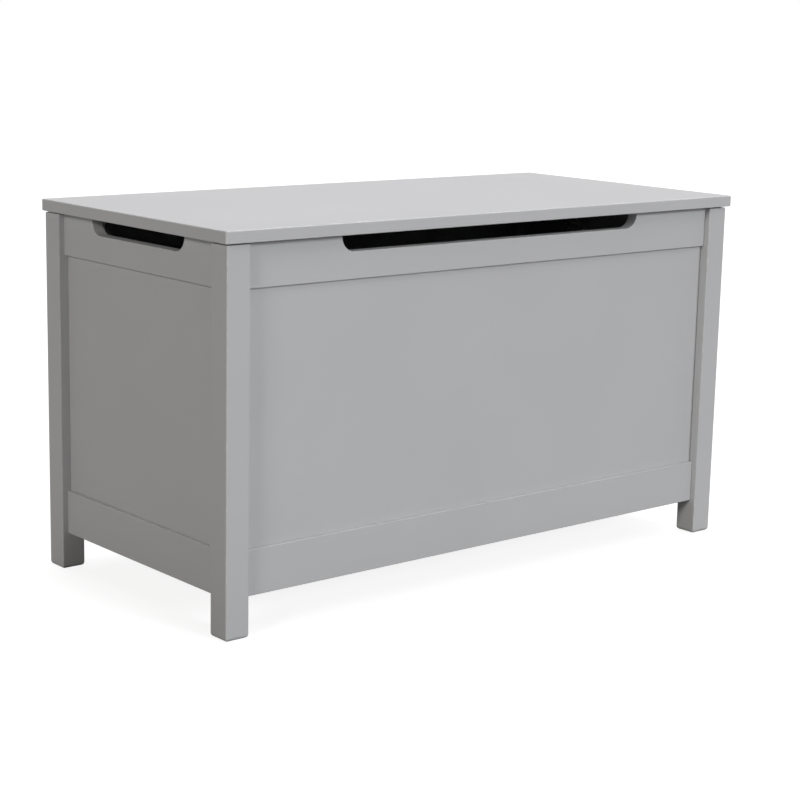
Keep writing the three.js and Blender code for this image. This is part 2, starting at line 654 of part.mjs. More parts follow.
for (const [side, sideName] of [[-1, "left"], [1, "right"]]) {
  const face = side * (SIDE_X - RAIL_RECESS - RAIL_THICKNESS);
  const layer = (range) => range.map((distance) => face - side * distance);
  const inward = X.clone().multiplyScalar(-side);
  // A round piece about a pivot, across a range of layers
  const disc = (radius, [near, far], pivot) =>
    rod(radius, far - near, inward, [face - side * near, pivot.x, pivot.y]);

  const group = new THREE.Group();
  group.position.set(0, AXIS_Y, AXIS_Z);
  model.add(group);

  const plate = roundedRectangle(
    BOX_POINT.x - BOX_BRACKET.length / 2,
    BOX_POINT.x + BOX_BRACKET.length / 2,
    BOX_POINT.y - BOX_BRACKET.height / 2,
    BOX_POINT.y + BOX_BRACKET.height / 2,
    BOX_BRACKET.corner,
  );
  const boxHead = headAfter(LOWER_ARM_LAYER);
  const boxBracket = sideView(plate, layer(BOX_PLATE_LAYER))
    .add(disc(DAMPER_RADIUS, [BOX_PLATE_LAYER[0], UPPER_ARM_LAYER[1]], BOX_POINT))
    .add(disc(STUD_RADIUS, [BOX_PLATE_LAYER[1], boxHead[1]], BOX_POINT))
    .add(disc(STUD_HEAD_RADIUS, boxHead, BOX_POINT));

  const ear = new THREE.Shape();
  ear.absarc(LID_POINT.x, LID_POINT.y, EAR_RADIUS, -Math.PI, 0);
  ear.lineTo(LID_POINT.x + EAR_RADIUS, LID_UNDERSIDE);
  ear.lineTo(LID_POINT.x - EAR_RADIUS, LID_UNDERSIDE);
  ear.closePath();
  const lidHead = headAfter(UPPER_ARM_LAYER);
  const lidBracket = sideView(ear, layer(EAR_LAYER))
    .add(
      block(
        layer([EAR_LAYER[0], EAR_LAYER[0] + LID_BRACKET.width]),
        [LID_POINT.x - LID_BRACKET.length / 2, LID_POINT.x + LID_BRACKET.length / 2],
        [LID_UNDERSIDE - BRACKET_THICKNESS, LID_UNDERSIDE],
      ),
    )
    .add(disc(STUD_RADIUS, [EAR_LAYER[0], lidHead[1]], LID_POINT))
    .add(disc(STUD_HEAD_RADIUS, lidHead, LID_POINT));

  const outerHead = [EAR_LAYER[1] - STUD_HEAD_THICKNESS, EAR_LAYER[1]];
  const innerHead = headAfter(LOWER_ARM_LAYER);
  const elbowRivet = disc(STUD_HEAD_RADIUS, outerHead, ELBOW_POINT)
    .add(disc(STUD_RADIUS, [outerHead[0], innerHead[1]], ELBOW_POINT))
    .add(disc(STUD_HEAD_RADIUS, innerHead, ELBOW_POINT));

  const lowerArm = sideView(armOutline(BOX_POINT, ELBOW_POINT), layer(LOWER_ARM_LAYER));
  const upperArm = sideView(armOutline(ELBOW_POINT, LID_POINT), layer(UPPER_ARM_LAYER));

  add(group, `${sideName}_stay_box_bracket`, boxBracket, zincPlatedSteel);
  add(group, `${sideName}_stay_lower_arm`, lowerArm, zincPlatedSteel);
  add(group, `${sideName}_stay_upper_arm`, upperArm, zincPlatedSteel);
  add(group, `${sideName}_stay_elbow_rivet`, elbowRivet, zincPlatedSteel);
  add(group, `${sideName}_stay_lid_bracket`, lidBracket, zincPlatedSteel);
}

export default model;
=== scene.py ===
# %% [markdown]
# # A painted wooden toy box
#
# This lesson finishes a toy box whose frame already exists. The frame holds every board, hinge and
# stay at its real place, and it knows how the lid moves. Here each board gets the eased edges and
# the paint of the real thing, and the fittings get their turned, rolled and plated shapes.
#
# Everything is in metres, in the frame's own axes: x to the right, y from the front to the hinges,
# z up from the floor.

# %% Load the frame
import json
import math

import bpy
import numpy as np
from mathutils import Matrix, Vector


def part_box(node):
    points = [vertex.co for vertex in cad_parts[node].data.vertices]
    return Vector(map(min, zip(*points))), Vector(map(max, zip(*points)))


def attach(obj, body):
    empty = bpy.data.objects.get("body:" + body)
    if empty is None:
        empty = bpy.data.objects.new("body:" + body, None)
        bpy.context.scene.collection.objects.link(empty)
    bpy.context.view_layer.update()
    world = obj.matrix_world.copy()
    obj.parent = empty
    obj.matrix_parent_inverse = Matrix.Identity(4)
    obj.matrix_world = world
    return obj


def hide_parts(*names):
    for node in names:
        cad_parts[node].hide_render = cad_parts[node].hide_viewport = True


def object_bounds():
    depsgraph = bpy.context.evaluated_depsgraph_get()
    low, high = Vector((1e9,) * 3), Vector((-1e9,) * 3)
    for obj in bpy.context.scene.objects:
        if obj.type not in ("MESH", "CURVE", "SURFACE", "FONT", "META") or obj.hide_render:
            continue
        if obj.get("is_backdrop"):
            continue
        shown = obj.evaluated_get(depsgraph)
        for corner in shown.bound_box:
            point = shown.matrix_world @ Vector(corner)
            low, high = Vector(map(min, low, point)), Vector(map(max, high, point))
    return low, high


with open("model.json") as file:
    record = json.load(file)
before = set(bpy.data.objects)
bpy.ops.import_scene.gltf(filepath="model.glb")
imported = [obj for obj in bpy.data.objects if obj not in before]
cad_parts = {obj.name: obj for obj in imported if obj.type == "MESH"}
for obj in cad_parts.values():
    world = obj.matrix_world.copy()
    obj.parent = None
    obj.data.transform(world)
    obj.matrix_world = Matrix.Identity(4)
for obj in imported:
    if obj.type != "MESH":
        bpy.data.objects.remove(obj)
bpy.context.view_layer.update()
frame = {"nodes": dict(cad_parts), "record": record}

MM = 0.001

# %% [markdown]
# ## Camera
#
# The box is seen from its front left corner, from a little above the lid, with a long lens, so that
# the long sides hardly converge. A short lens from nearby would swell the near leg. The camera is
# also tipped by about one degree, as a camera held by hand is.

# %% The camera
LOOK_AT = Vector((-0.001, -0.009, 0.2086))
DISTANCE = 2.632
HEADING = math.radians(40.26)  # how far the view turns from +y towards +x
LOOK_DOWN = math.radians(11.63)
TIP = math.radians(1.244)
SENSOR_MM = 36.0
LENS_MM = 86.8


def camera_place(target, distance, heading, look_down, tip):
    """A camera at a distance from its target. A camera looks along its own -z: a quarter turn about
    x, less the look down, aims it at the horizon's side, the heading turns it about z, and the tip
    turns it about its view."""
    aim = Matrix.Rotation(-heading, 4, "Z") @ Matrix.Rotation(math.pi / 2 - look_down, 4, "X")
    tipped = aim @ Matrix.Rotation(tip, 4, "Z")
    return Matrix.Translation(target) @ tipped @ Matrix.Translation((0, 0, distance))


camera = bpy.data.objects.new("camera", bpy.data.cameras.new("camera"))
bpy.context.scene.collection.objects.link(camera)
camera.data.sensor_width = SENSOR_MM
camera.data.lens = LENS_MM
camera.matrix_world = camera_place(LOOK_AT, DISTANCE, HEADING, LOOK_DOWN, TIP)
bpy.context.scene.camera = camera
print("camera at", [round(value, 3) for value in camera.matrix_world.translation])

# %% [markdown]
# ## Light and floor
#
# Two things about a box say where its light stands. Each top rail throws only a thin, crisp line
# onto its panel, and no bottom rail's ledge is brighter than the panel above it. So the front and
# the left side are lit from low down, a little over twenty degrees above level, and the front by
# more. The lid is the brightest face. Its light should miss the ledges, so it stands behind and to
# the right. Even so a ledge comes out about as bright as its panel, where a real one is darker.
#
# Area lights could do this, but they fade with distance and leave the floor patchy. A sun with a
# wide disc gives the same soft shadows and lights the floor evenly, so there are four suns.
#
# The floor is white paper. If it threw all its light back up, the shadows under the lid and the
# rails would vanish, so it is grey, and glows only to the camera. That also hides most of the box's
# own shadow on it. The white walls of the room hardly light the box either, but metal and satin
# paint mirror them, and without them the plating would be black.

# %% Suns
def soft_sun(name, heading, height, width, strength, tint):
    """A sun whose light comes from a heading (degrees from -y towards +x) and a height above the
    horizon, with a disc that is width degrees across."""
    light = bpy.data.lights.new(name, "SUN")
    light.angle = math.radians(width)
    light.energy = strength
    light.color = tint
    sun = bpy.data.objects.new(name, light)
    bpy.context.scene.collection.objects.link(sun)
    turn = Matrix.Rotation(math.radians(heading), 4, "Z")
    sun.matrix_world = turn @ Matrix.Rotation(math.radians(90 - height), 4, "X")
    return sun


soft_sun("light_from_behind", 150, 60, 60, 1.35, (1.0, 0.995, 1.0))
soft_sun("light_from_the_right", 90, 50, 60, 1.5, (1.0, 0.995, 1.0))
soft_sun("light_from_the_front", 10, 22, 16, 1.62, (0.975, 0.993, 1.0))
soft_sun("light_from_the_left", -70, 24, 16, 1.09, (1.0, 0.973, 0.913))
bpy.context.scene.view_settings.view_transform = "Standard"


# %% Colours and nodes
def hex_colour(code):
    """An sRGB hex colour as linear red, green and blue, with alpha. The sRGB curve is a straight
    line near black, and above it the power 2.4 of the value moved and scaled by 0.055."""
    value = np.array([int(code[i : i + 2], 16) for i in (1, 3, 5)]) / 255
    linear = np.where(value <= 0.04045, value / 12.92, ((value + 0.055) / 1.055) ** 2.4)
    return (*linear, 1.0)


def add(tree, kind, inputs=(), **settings):
    """Adds a node with its settings. Each named input gets a value, or another node's output."""
    node = tree.nodes.new(kind)
    for key, value in settings.items():
        setattr(node, key, value)
    for key, value in dict(inputs).items():
        if isinstance(value, bpy.types.NodeSocket):
            tree.links.new(value, node.inputs[key])
        else:
            node.inputs[key].default_value = value
    return node


# %% Sky and floor
WHITE = hex_colour("#FFFFFF")
WALLS_AS_LIGHT = 0.03
WALLS_IN_MIRROR = 0.5
FLOOR_GLOW = 0.85
FLOOR_REACH = 30.0
world = bpy.data.worlds.new("studio")
world.use_nodes = True
world.node_tree.nodes.clear()
ray = add(world.node_tree, "ShaderNodeLightPath")
dim = {0: ray.outputs["Is Glossy Ray"], 1: WALLS_IN_MIRROR, 2: WALLS_AS_LIGHT}
strength = add(world.node_tree, "ShaderNodeMath", dim, operation="MULTIPLY_ADD")
walls = {"Color": hex_colour("#F4F5F6"), "Strength": strength.outputs[0]}
room = add(world.node_tree, "ShaderNodeBackground", walls)
wall = add(world.node_tree, "ShaderNodeBackground", {"Color": WHITE})
parts = {0: ray.outputs["Is Camera Ray"], 1: room.outputs[0], 2: wall.outputs[0]}
sky = add(world.node_tree, "ShaderNodeMixShader", parts)
add(world.node_tree, "ShaderNodeOutputWorld", {"Surface": sky.outputs[0]})
bpy.context.scene.world = world

floor_mesh = bpy.data.meshes.new("floor")
corners = FLOOR_REACH * np.array([(-1, -1, 0), (1, -1, 0), (1, 1, 0), (-1, 1, 0)])
floor_mesh.from_pydata(corners.tolist(), [], [(0, 1, 2, 3)])
floor = bpy.data.objects.new("floor", floor_mesh)
bpy.context.scene.collection.objects.link(floor)
floor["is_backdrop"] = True


def new_material(name):
    """A material with an empty node tree, and that tree."""
    material = bpy.data.materials.new(name)
    material.use_nodes = True
    material.node_tree.nodes.clear()
    return material, material.node_tree


def maths(tree, operation, *values):
    """The result of a Math node."""
    return add(tree, "ShaderNodeMath", enumerate(values), operation=operation).outputs[0]


def bump(tree, height, strength, depth, **under):
    """A surface direction tilted by a height pattern."""
    inputs = {"Height": height, "Strength": strength, "Distance": depth, **under}
    return add(tree, "ShaderNodeBump", inputs).outputs[0]


def noise(tree, place, width, detail):
    """Noise whose clouds are about a width across, from 0 to 1."""
    inputs = {"Vector": place, "Scale": 1 / width, "Detail": detail}
    return add(tree, "ShaderNodeTexNoise", inputs).outputs["Fac"]


def spread(tree, value, span=(0, 1), target=(0, 1)):
    """A value with its span, and no more than that, carried over to the target's."""
    inputs = {"Value": value, "From Min": span[0], "From Max": span[1]}
    inputs.update({"To Min": target[0], "To Max": target[1]})
    return add(tree, "ShaderNodeMapRange", inputs).outputs[0]


def finish_material(tree, **inputs):
    """Ends a tree with one shader, whose inputs are given with _ for the spaces in their names."""
    named = {key.replace("_", " "): value for key, value in inputs.items()}
    shader = add(tree, "ShaderNodeBsdfPrincipled", named)
    add(tree, "ShaderNodeOutputMaterial", {"Surface": shader.outputs[0]})


paper, tree = new_material("white_seamless_paper")
seen = add(tree, "ShaderNodeLightPath").outputs["Is Camera Ray"]
finish_material(
    tree,
    Base_Color=hex_colour("#969696"),
    Roughness=1.0,
    Specular_IOR_Level=0.1,
    Emission_Color=WHITE,
    Emission_Strength=maths(tree, "MULTIPLY", seen, FLOOR_GLOW),
)
floor_mesh.materials.append(paper)
print("four suns, a dim sky and a floor", 2 * FLOOR_REACH, "m across")

# %% [markdown]
# ## Surfaces from formulas
#
# A board is a flat outline carried through its thickness. Near each face the outline draws in along
# a quarter circle, and that eases the edge. This is how a router rounds an arris, and each edge can
# have its own radius. A bevel on a finished block would give all edges the same one.
#
# So every shape below is a stack of rings with equally many points, joined by quads. Legs, boards,
# knuckles, screws, rivets and drums all come from that one idea.


# %% Outlines
def arc(centre, radius, start, end, steps):
    """Points on an arc between two angles in degrees: the centre plus radius times the cosine and
    sine of evenly spaced angles."""
    angle = np.radians(np.linspace(start, end, steps + 1))
    return np.array(centre) + radius * np.column_stack((np.cos(angle), np.sin(angle)))


def rounded_rectangle(width, height, radius, steps=5):
    """Four quarter arcs, counter-clockwise, round a rectangle with its middle at the origin."""
    x = width / 2 - radius
    y = height / 2 - radius
    centres = ((x, -y), (x, y), (-x, y), (-x, -y))
    return np.vstack([arc(at, radius, 90 * i - 90, 90 * i, steps) for i, at in enumerate(centres)])


def rounded(width, height, radius, shrink=1.0, smallest=0.0):
    """A rounded rectangle as a function of how far it is drawn in. Its corner radius shrinks with
    the inset, or by a share of it, but never below the smallest."""
    return lambda inset: rounded_rectangle(
        width - 2 * inset, height - 2 * inset, max(radius - shrink * inset, smallest)
    )


def drawn_in(outline, inset):
    """A counter-clockwise outline with each edge moved inward. A corner slides along its mitre: the
    sum of the two edge normals over one plus their dot product."""
    edge = np.roll(outline, -1, axis=0) - outline
    edge = edge / np.linalg.norm(edge, axis=1, keepdims=True)
    after = np.column_stack((-edge[:, 1], edge[:, 0]))
    before = np.roll(after, 1, axis=0)
    return outline + inset * (before + after) / (1 + np.sum(before * after, axis=1, keepdims=True))


# %% Rings
def skin(rings):
    """Rings of points, as an array of ring, point and coordinate, joined by quads, with the first
    and last ring closed by flat faces. Rings that run counter-clockwise round their axis, and
    upwards along it, give faces that point outwards."""
    count, around = rings.shape[:2]
    ring = np.arange(count - 1)[:, None] * around
    point = np.arange(around)[None, :]
    beside = (point + 1) % around
    above = ring + around
    quads = np.stack((ring + point, ring + beside, above + beside, above + point), -1)
    last = (count - 1) * around
    caps = [list(range(around))[::-1], list(range(last, last + around))]
    return rings.reshape(-1, 3), quads.reshape(-1, 4).tolist() + caps


def eased(thickness, first, last, steps=4):
    """(inset, level) through a board. Each arris is a quarter circle: its inset shrinks as one
    minus a sine, and its level grows as one minus a cosine."""
    angle = np.linspace(0, np.pi / 2, steps + 1)
    near = first * np.column_stack((1 - np.sin(angle), 1 - np.cos(angle)))
    far = last * np.column_stack((1 - np.cos(angle), np.sin(angle) - 1))
    return np.vstack((near, far + (0, thickness)))


def board(shape, thickness, first, last=None):
    """A board with eased edges: shape gives the outline for an inset, in x and y, and the board
    runs along z from 0 to its thickness."""
    levels = eased(thickness, first, first if last is None else last)
    rings = [np.column_stack((line, np.full(len(line), level)))
             for line, level in ((shape(inset), level) for inset, level in levels)]
    return skin(np.array(rings))


def turned(profile, sides=40, lobes=0, lobe_depth=0.0):
    """A lathe piece: each (radius, height) is a circle about z. With lobes, the radius dips by the
    lobe depth as one minus the cosine of that many turns."""
    profile = np.array(profile)
    angle = np.linspace(0, 2 * np.pi, sides, endpoint=False)
    dip = lobe_depth * (1 - np.cos(lobes * angle)) / 2
    radius = profile[:, :1] - dip
    height = np.broadcast_to(profile[:, 1:], radius.shape)
    return skin(np.stack((radius * np.cos(angle), radius * np.sin(angle), height), -1))


# %% Placing a shell
X, Y, Z = np.eye(3)


def placed_at(shell, origin, x_axis, y_axis, z_axis):
    """A shell with its axes laid along three others from an origin. If those are left-handed the
    shape is a mirror image, and its faces are reversed to keep them pointing outwards."""
    points, faces = shell
    axes = np.array((x_axis, y_axis, z_axis))
    if np.linalg.det(axes) < 0:
        faces = [face[::-1] for face in faces]
    return np.array(origin) + points @ axes, faces


def stood(shell, origin, direction):
    """A turned shell with its own z along one of the frame's axes."""
    first, second = (axis for axis in (X, Y, Z) if abs(axis @ direction) < 0.5)
    return placed_at(shell, origin, first, second, direction)


def block(low, high):
    """A plain block between two corners, for a tenon or for the hole that takes one."""
    low, high = np.array(low), np.array(high)
    square = np.array([(0, 0), (1, 0), (1, 1), (0, 1)])
    rings = np.array([np.column_stack((square, np.full(4, level))) for level in (0, 1)])
    points, faces = skin(rings)
    return low + points * (high - low), faces


def rod(radius, start, end):
    """A plain round rod between two points that differ along one of the frame's axes."""
    reach = np.array(end) - np.array(start)
    length = np.linalg.norm(reach)
    return stood(turned([(radius, 0), (radius, length)], sides=24), start, reach / length)


print("a 20 mm board with 2 mm edges has rings at", (eased(20, 2, 2)[:, 1]).round(2), "mm")

# %% [markdown]
# ## From surfaces to pieces
#
# Joinery, such as grooves, mortises and screw holes, is taken out with the exact boolean. Its tools
# are plain blocks and rods, and it leaves the rest of the surface as it was. Modelling each groove
# into the rings would bury the shape of the board in special cases.
#
# Shading is smooth over the eased edges and sharp at true corners. The weighted normals keep the
# large flat faces flat: a face counts by its area, so an edge can't bend the shading of a panel.

# %% Making a piece
CRISP_ANGLE = math.radians(40)
node_lists = frame["record"]["behaviour"]["bodies"]
body_of_node = {node: body for body, nodes in node_lists.items() for node in nodes}


def mesh_object(name, shell):
    """A new object at the origin that holds a shell."""
    points, faces = shell
    mesh = bpy.data.meshes.new(name)
    mesh.from_pydata(points.tolist(), [], faces)
    made = bpy.data.objects.new(name, mesh)
    bpy.context.scene.collection.objects.link(made)
    return made


def work(made, shell, operation):
    """Joins a shell to an object's mesh, or takes it out, and keeps the result as the mesh."""
    tool = mesh_object("tool", shell)
    change = made.modifiers.new("joinery", "BOOLEAN")
    change.operation = operation
    change.solver = "EXACT"
    change.object = tool
    evaluated = made.evaluated_get(bpy.context.evaluated_depsgraph_get())
    before = made.data
    made.data = bpy.data.meshes.new_from_object(evaluated)
    made.modifiers.clear()
    bpy.data.meshes.remove(before)
    bpy.data.objects.remove(tool)


def piece(name, shell, material, slot=None, node=None, body=None, grow=(), cut=()):
    """A finished piece. It stands for a node of the frame and moves with that node's body, or it
    has no node and moves with the body given. The shells in grow are joined to it, and those in cut
    are taken out of it."""
    made = mesh_object(name, shell)
    for extra in grow:
        work(made, extra, "UNION")
    for hole in cut:
        work(made, hole, "DIFFERENCE")
    made.data.name = name
    made.data.materials.clear()
    made.data.materials.append(material)
    made.data.shade_smooth()
    made.data.set_sharp_from_angle(angle=CRISP_ANGLE)
    normals = made.modifiers.new("flat_faces", "WEIGHTED_NORMAL")
    normals.keep_sharp = True
    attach(made, body or body_of_node[node])
    if node:
        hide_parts(node)
    return made


def corners_of(node):
    """A node's lowest and highest corner."""
    low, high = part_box(node)
    return np.array(low), np.array(high)


def middle_of(node):
    """The middle of a node's block."""
    low, high = corners_of(node)
    return (low + high) / 2


def foot_of(node):
    """The middle of a node's lower face."""
    return np.array((*middle_of(node)[:2], corners_of(node)[0][2]))


# %% [markdown]
# ## Satin enamel
#
# The box is sprayed in a pale grey, water-based satin enamel: solid wood in the legs and rails,
# fibreboard in the panels, base and lid. The paint fills the grain of the wood, so that only long,
# very shallow ridges are left of it, and the spray leaves its own orange peel, bumps about a
# millimetre across and a few microns high. Its colour drifts by about one percent between passes of
# the gun. At an arris the film is thinner and gets rubbed, which leaves a slightly paler line.
#
# A flat colour would look like plastic. The pattern could be painted into an image, but noise on
# the object's own coordinates has no seams and a known size in millimetres.

# %% The enamel
ENAMEL = "#BBBBBD"
RUBBED_ENAMEL = "#CBCBCC"
PEEL_WIDTH = 1.2 * MM
GRAIN_WIDTH = 1.4 * MM
GRAIN_LENGTH = 150 * MM
PASS_WIDTH = 160 * MM  # a pass of the spray gun
PASS_DRIFT = 0.012  # how far a pass is paler or darker
ENAMEL_ROUGHNESS = (0.42, 0.56)
WEAR_LENGTH = 9 * MM
WEAR_SPAN = (0.45, 0.7)  # noise where the rubbing starts, and where it is full
ARRIS_SPAN = (0.97, 0.8)  # the largest part of the surface's direction, at a face and on an arris
PEEL_DEPTH, PEEL_STRENGTH = 0.04 * MM, 0.25
GRAIN_DEPTH, GRAIN_STRENGTH = 0.05 * MM, 0.3
NOISE_SPAN = (0.35, 0.65)  # most of a noise's values


def satin_enamel(name, grain_axis=None):
    """Enamel over wood whose grain runs along an axis, or over fibreboard if none is given."""
    material, tree = new_material(name)
    coordinates = add(tree, "ShaderNodeTexCoord")
    place = coordinates.outputs["Object"]
    # Passes of the gun: clouds that change the colour by a percent and the gloss a little
    cloud = noise(tree, place, PASS_WIDTH, 3.0)
    shade = spread(tree, cloud, NOISE_SPAN, (1 - PASS_DRIFT, 1 + PASS_DRIFT))
    coat = {"Factor": 1.0, "A": hex_colour(ENAMEL), "B": shade}
    colour = add(tree, "ShaderNodeMix", coat, data_type="RGBA", blend_type="MULTIPLY")
    gloss = spread(tree, cloud, target=ENAMEL_ROUGHNESS)
    # Arrises: where no axis of the piece is close to the surface's direction
    normal = {0: coordinates.outputs["Normal"]}
    facing = add(tree, "ShaderNodeVectorMath", normal, operation="ABSOLUTE")
    split = add(tree, "ShaderNodeSeparateXYZ", {0: facing.outputs[0]})
    most = split.outputs[0]
    for other in split.outputs[1:]:
        most = maths(tree, "MAXIMUM", most, other)
    arris = spread(tree, most, ARRIS_SPAN)
    rubbed = spread(tree, noise(tree, place, WEAR_LENGTH, 4.0), WEAR_SPAN)
    wear = maths(tree, "MULTIPLY", arris, rubbed)
    paint = {"Factor": wear, "A": colour.outputs["Result"], "B": hex_colour(RUBBED_ENAMEL)}
    skin_colour = add(tree, "ShaderNodeMix", paint, data_type="RGBA")
    # Orange peel, and on solid wood the ridges of the grain under it
    relief = bump(tree, noise(tree, place, PEEL_WIDTH, 1.0), PEEL_STRENGTH, PEEL_DEPTH)
    if grain_axis is not None:
        stretch = np.full(3, 1 / GRAIN_WIDTH)
        stretch[grain_axis] = 1 / GRAIN_LENGTH
        along = add(tree, "ShaderNodeMapping", {"Vector": place, "Scale": stretch})
        fibres = noise(tree, along.outputs[0], 1.0, 2.0)
        relief = bump(tree, fibres, GRAIN_STRENGTH, GRAIN_DEPTH, Normal=relief)
    finish_material(
        tree,
        Base_Color=skin_colour.outputs["Result"],
        Roughness=gloss,
        IOR=1.5,
        Normal=relief,
    )
    return material


enamel_on_wood = [satin_enamel(f"satin_enamel_on_pine_{'xyz'[axis]}", axis) for axis in range(3)]
enamel_on_board = satin_enamel("satin_enamel_on_fibreboard")
print("orange peel", PEEL_WIDTH / MM, "mm, grain", GRAIN_WIDTH / MM, "mm")

# %% [markdown]
# ## What is let into the wood
#
# Side rails end in tenons, panels and base run in grooves, cams and bolts have their pockets, and
# screws their pilot holes. Each of these is one shell, a little larger than what goes in. A board
# then loses every shell that reaches into its own block. Listing the holes once keeps both halves
# of a joint in step, which is safer than writing each hole into each board.

# %% Tenons, panels and base
FIT = 0.3 * MM
TENON_THICKNESS = 10 * MM
TENON_SHOULDER = 10 * MM
SIDE_NAMES = ("front", "rear", "left", "right")
front_leg_high = corners_of("leg_front_left")[1]
rear_leg_low = corners_of("leg_rear_right")[0]
let_in = {}


def tenons(rail, clearance=0.0):
    """The two tenons of a side rail: blocks from the rail's own end to as far behind the shoulder,
    which is the leg's face, as the tenon stands out of it."""
    low, high = corners_of(rail)
    cheek = (high[0] - low[0] - TENON_THICKNESS) / 2
    made = []
    for end, shoulder in ((low[1], front_leg_high[1]), (high[1], rear_leg_low[1])):
        y = sorted((end, 2 * shoulder - end))
        first = np.array((low[0] + cheek, y[0], low[2] + TENON_SHOULDER)) - clearance
        last = np.array((high[0] - cheek, y[1], high[2] - TENON_SHOULDER)) + clearance
        made.append(block(first, last))
    return made


def base_outline(clearance=0.0):
    """The base board from above, counter-clockwise: a rectangle with a notch round each leg."""
    low, high = corners_of("base_board")
    notch_low, notch_high = front_leg_high + FIT, rear_leg_low - FIT
    x = (low[0], notch_low[0], notch_high[0], high[0])
    y = (low[1], notch_low[1], notch_high[1], high[1])
    steps = [(1, 0), (2, 0), (2, 1), (3, 1), (3, 2), (2, 2)]
    steps += [(3 - i, 3 - j) for i, j in steps]
    outline = np.array([(x[i], y[j]) for i, j in steps])
    return drawn_in(outline, -clearance)


for side in SIDE_NAMES:
    low, high = corners_of(f"{side}_panel")
    let_in[f"{side}_panel"] = block(low - FIT, high + FIT)
for rail in ("left_top_rail", "left_bottom_rail", "right_top_rail", "right_bottom_rail"):
    for end, tenon in zip(("front", "rear"), tenons(rail, FIT)):
        let_in[f"{rail}_{end}_tenon"] = tenon
base_low, base_high = corners_of("base_board")
base_thickness = base_high[2] - base_low[2]
groove = board(lambda inset: base_outline(FIT), base_thickness + 2 * FIT, FIT)
let_in["base_board"] = placed_at(groove, (0, 0, base_low[2] - FIT), X, Y, Z)

# %% Cams, bolts and screws
CAM_PLACES = [f"{end}_{level}_{side}" for end in ("front", "rear") for level in ("top", "bottom")
              for side in ("left", "right")]
HINGES = ("hinge_left", "hinge_right")
HINGE_SCREWS = [(hinge, part, f"{hinge}_{part}_screw_{number}") for hinge in HINGES
                for part in ("rail", "lid") for number in (1, 2)]
MOUTH = 1 * MM  # how far a hole runs out past the face it starts from
SCREW_POINT = 2 * MM
POINT_RADIUS = 0.2 * MM
HEAD_EASE = 0.15 * MM
HEAD_RIM = 0.3 * MM  # the head's depth at its full width


def countersunk(radius, length, clearance=0.0, mouth=0.0):
    """(radius, depth) down a countersunk screw: flat head, cone to half its radius, shank and
    point."""
    shank = radius / 2
    return [
        (radius + clearance - HEAD_EASE, -mouth),
        (radius + clearance, -mouth + HEAD_EASE),
        (radius + clearance, HEAD_RIM),
        (shank + clearance, 0.6 * radius),
        (shank + clearance, length - SCREW_POINT + clearance),
        (POINT_RADIUS + clearance, length + clearance),
    ]


def screw_line(node):
    """Where a hinge screw starts, which way it runs, its head's radius and its length."""
    low, high = corners_of(node)
    up = "lid" in node
    start = np.array((*((low + high) / 2)[:2], low[2] if up else high[2]))
    return start, Z if up else -Z, (high[0] - low[0]) / 2, high[2] - low[2]


for place in CAM_PLACES:
    low, high = corners_of(f"cam_lock_{place}")
    inward = Y if place.startswith("front") else -Y
    middle = (low + high) / 2
    reach = (high[1] - low[1]) / 2 + FIT
    start, end = middle - reach * inward, middle + (reach + MOUTH) * inward
    let_in[f"cam_lock_{place}"] = rod((high[0] - low[0]) / 2 + FIT, start, end)
    low, high = corners_of(f"cam_bolt_{place}")
    middle = (low + high) / 2
    radius = (high[2] - low[2]) / 2 + FIT
    start, end = (low[0] - FIT, *middle[1:]), (high[0] + FIT, *middle[1:])
    let_in[f"cam_bolt_{place}"] = rod(radius, start, end)
for _, _, node in HINGE_SCREWS:
    start, direction, radius, length = screw_line(node)
    hole = turned(countersunk(radius, length, FIT, MOUTH), sides=24)
    let_in[node] = stood(hole, start, direction)


# %% Screws of the stays' brackets
PAN_HEAD_RADIUS = 3.4 * MM
PAN_HEAD_HEIGHT = 1.9 * MM
BRACKET_SCREW_RADIUS = 1.6 * MM
BRACKET_SCREW_LENGTH = 12 * MM
BOX_PLATE = 2 * MM
BOX_SCREW_SPACING = 44 * MM
LID_SCREW_SPACING = 28 * MM
LID_SCREW_INSET = 17 * MM  # from the bracket's ear
INWARD = {"left": X, "right": -X}


def near_face(node, inward):
    """The x of the face of a stay's node that is nearest to its side rail."""
    low, high = corners_of(node)
    return low[0] if inward[0] > 0 else high[0]


def stay_pivots(side):
    """The pivots at the box, the elbow and the lid. An arm's half width is what it reaches past the
    elbow, and its other pivot is that far from its far end."""
    elbow = middle_of(f"{side}_stay_elbow_rivet")
    low, high = corners_of(f"{side}_stay_upper_arm")
    half_width = elbow[1] - low[1]
    return middle_of(f"{side}_stay_box_bracket"), elbow, high - half_width, half_width


bracket_screws = {}
for side, inward in INWARD.items():
    box_pivot, _, lid_pivot, _ = stay_pivots(side)
    seat_x = near_face(f"{side}_stay_box_bracket", inward) + BOX_PLATE * inward[0]
    lid_bracket = f"{side}_stay_lid_bracket"
    lid_x = near_face(lid_bracket, inward) + LID_SCREW_INSET * inward[0]
    lid_z = corners_of(lid_bracket)[1][2] - BOX_PLATE
    for number, sign in ((1, -1), (2, 1)):
        seat = np.array((seat_x, box_pivot[1] + sign * BOX_SCREW_SPACING / 2, box_pivot[2]))
        bracket_screws[f"{side}_box_bracket_screw_{number}"] = (seat, -inward, "root")
        seat = np.array((lid_x, lid_pivot[1] + sign * LID_SCREW_SPACING / 2, lid_z))
        bracket_screws[f"{side}_lid_bracket_screw_{number}"] = (seat, Z, "lid")
for name, (seat, direction, _) in bracket_screws.items():
    tip = seat + (BRACKET_SCREW_LENGTH + FIT) * direction
    let_in[name] = rod(BRACKET_SCREW_RADIUS + FIT / 2, seat, tip)


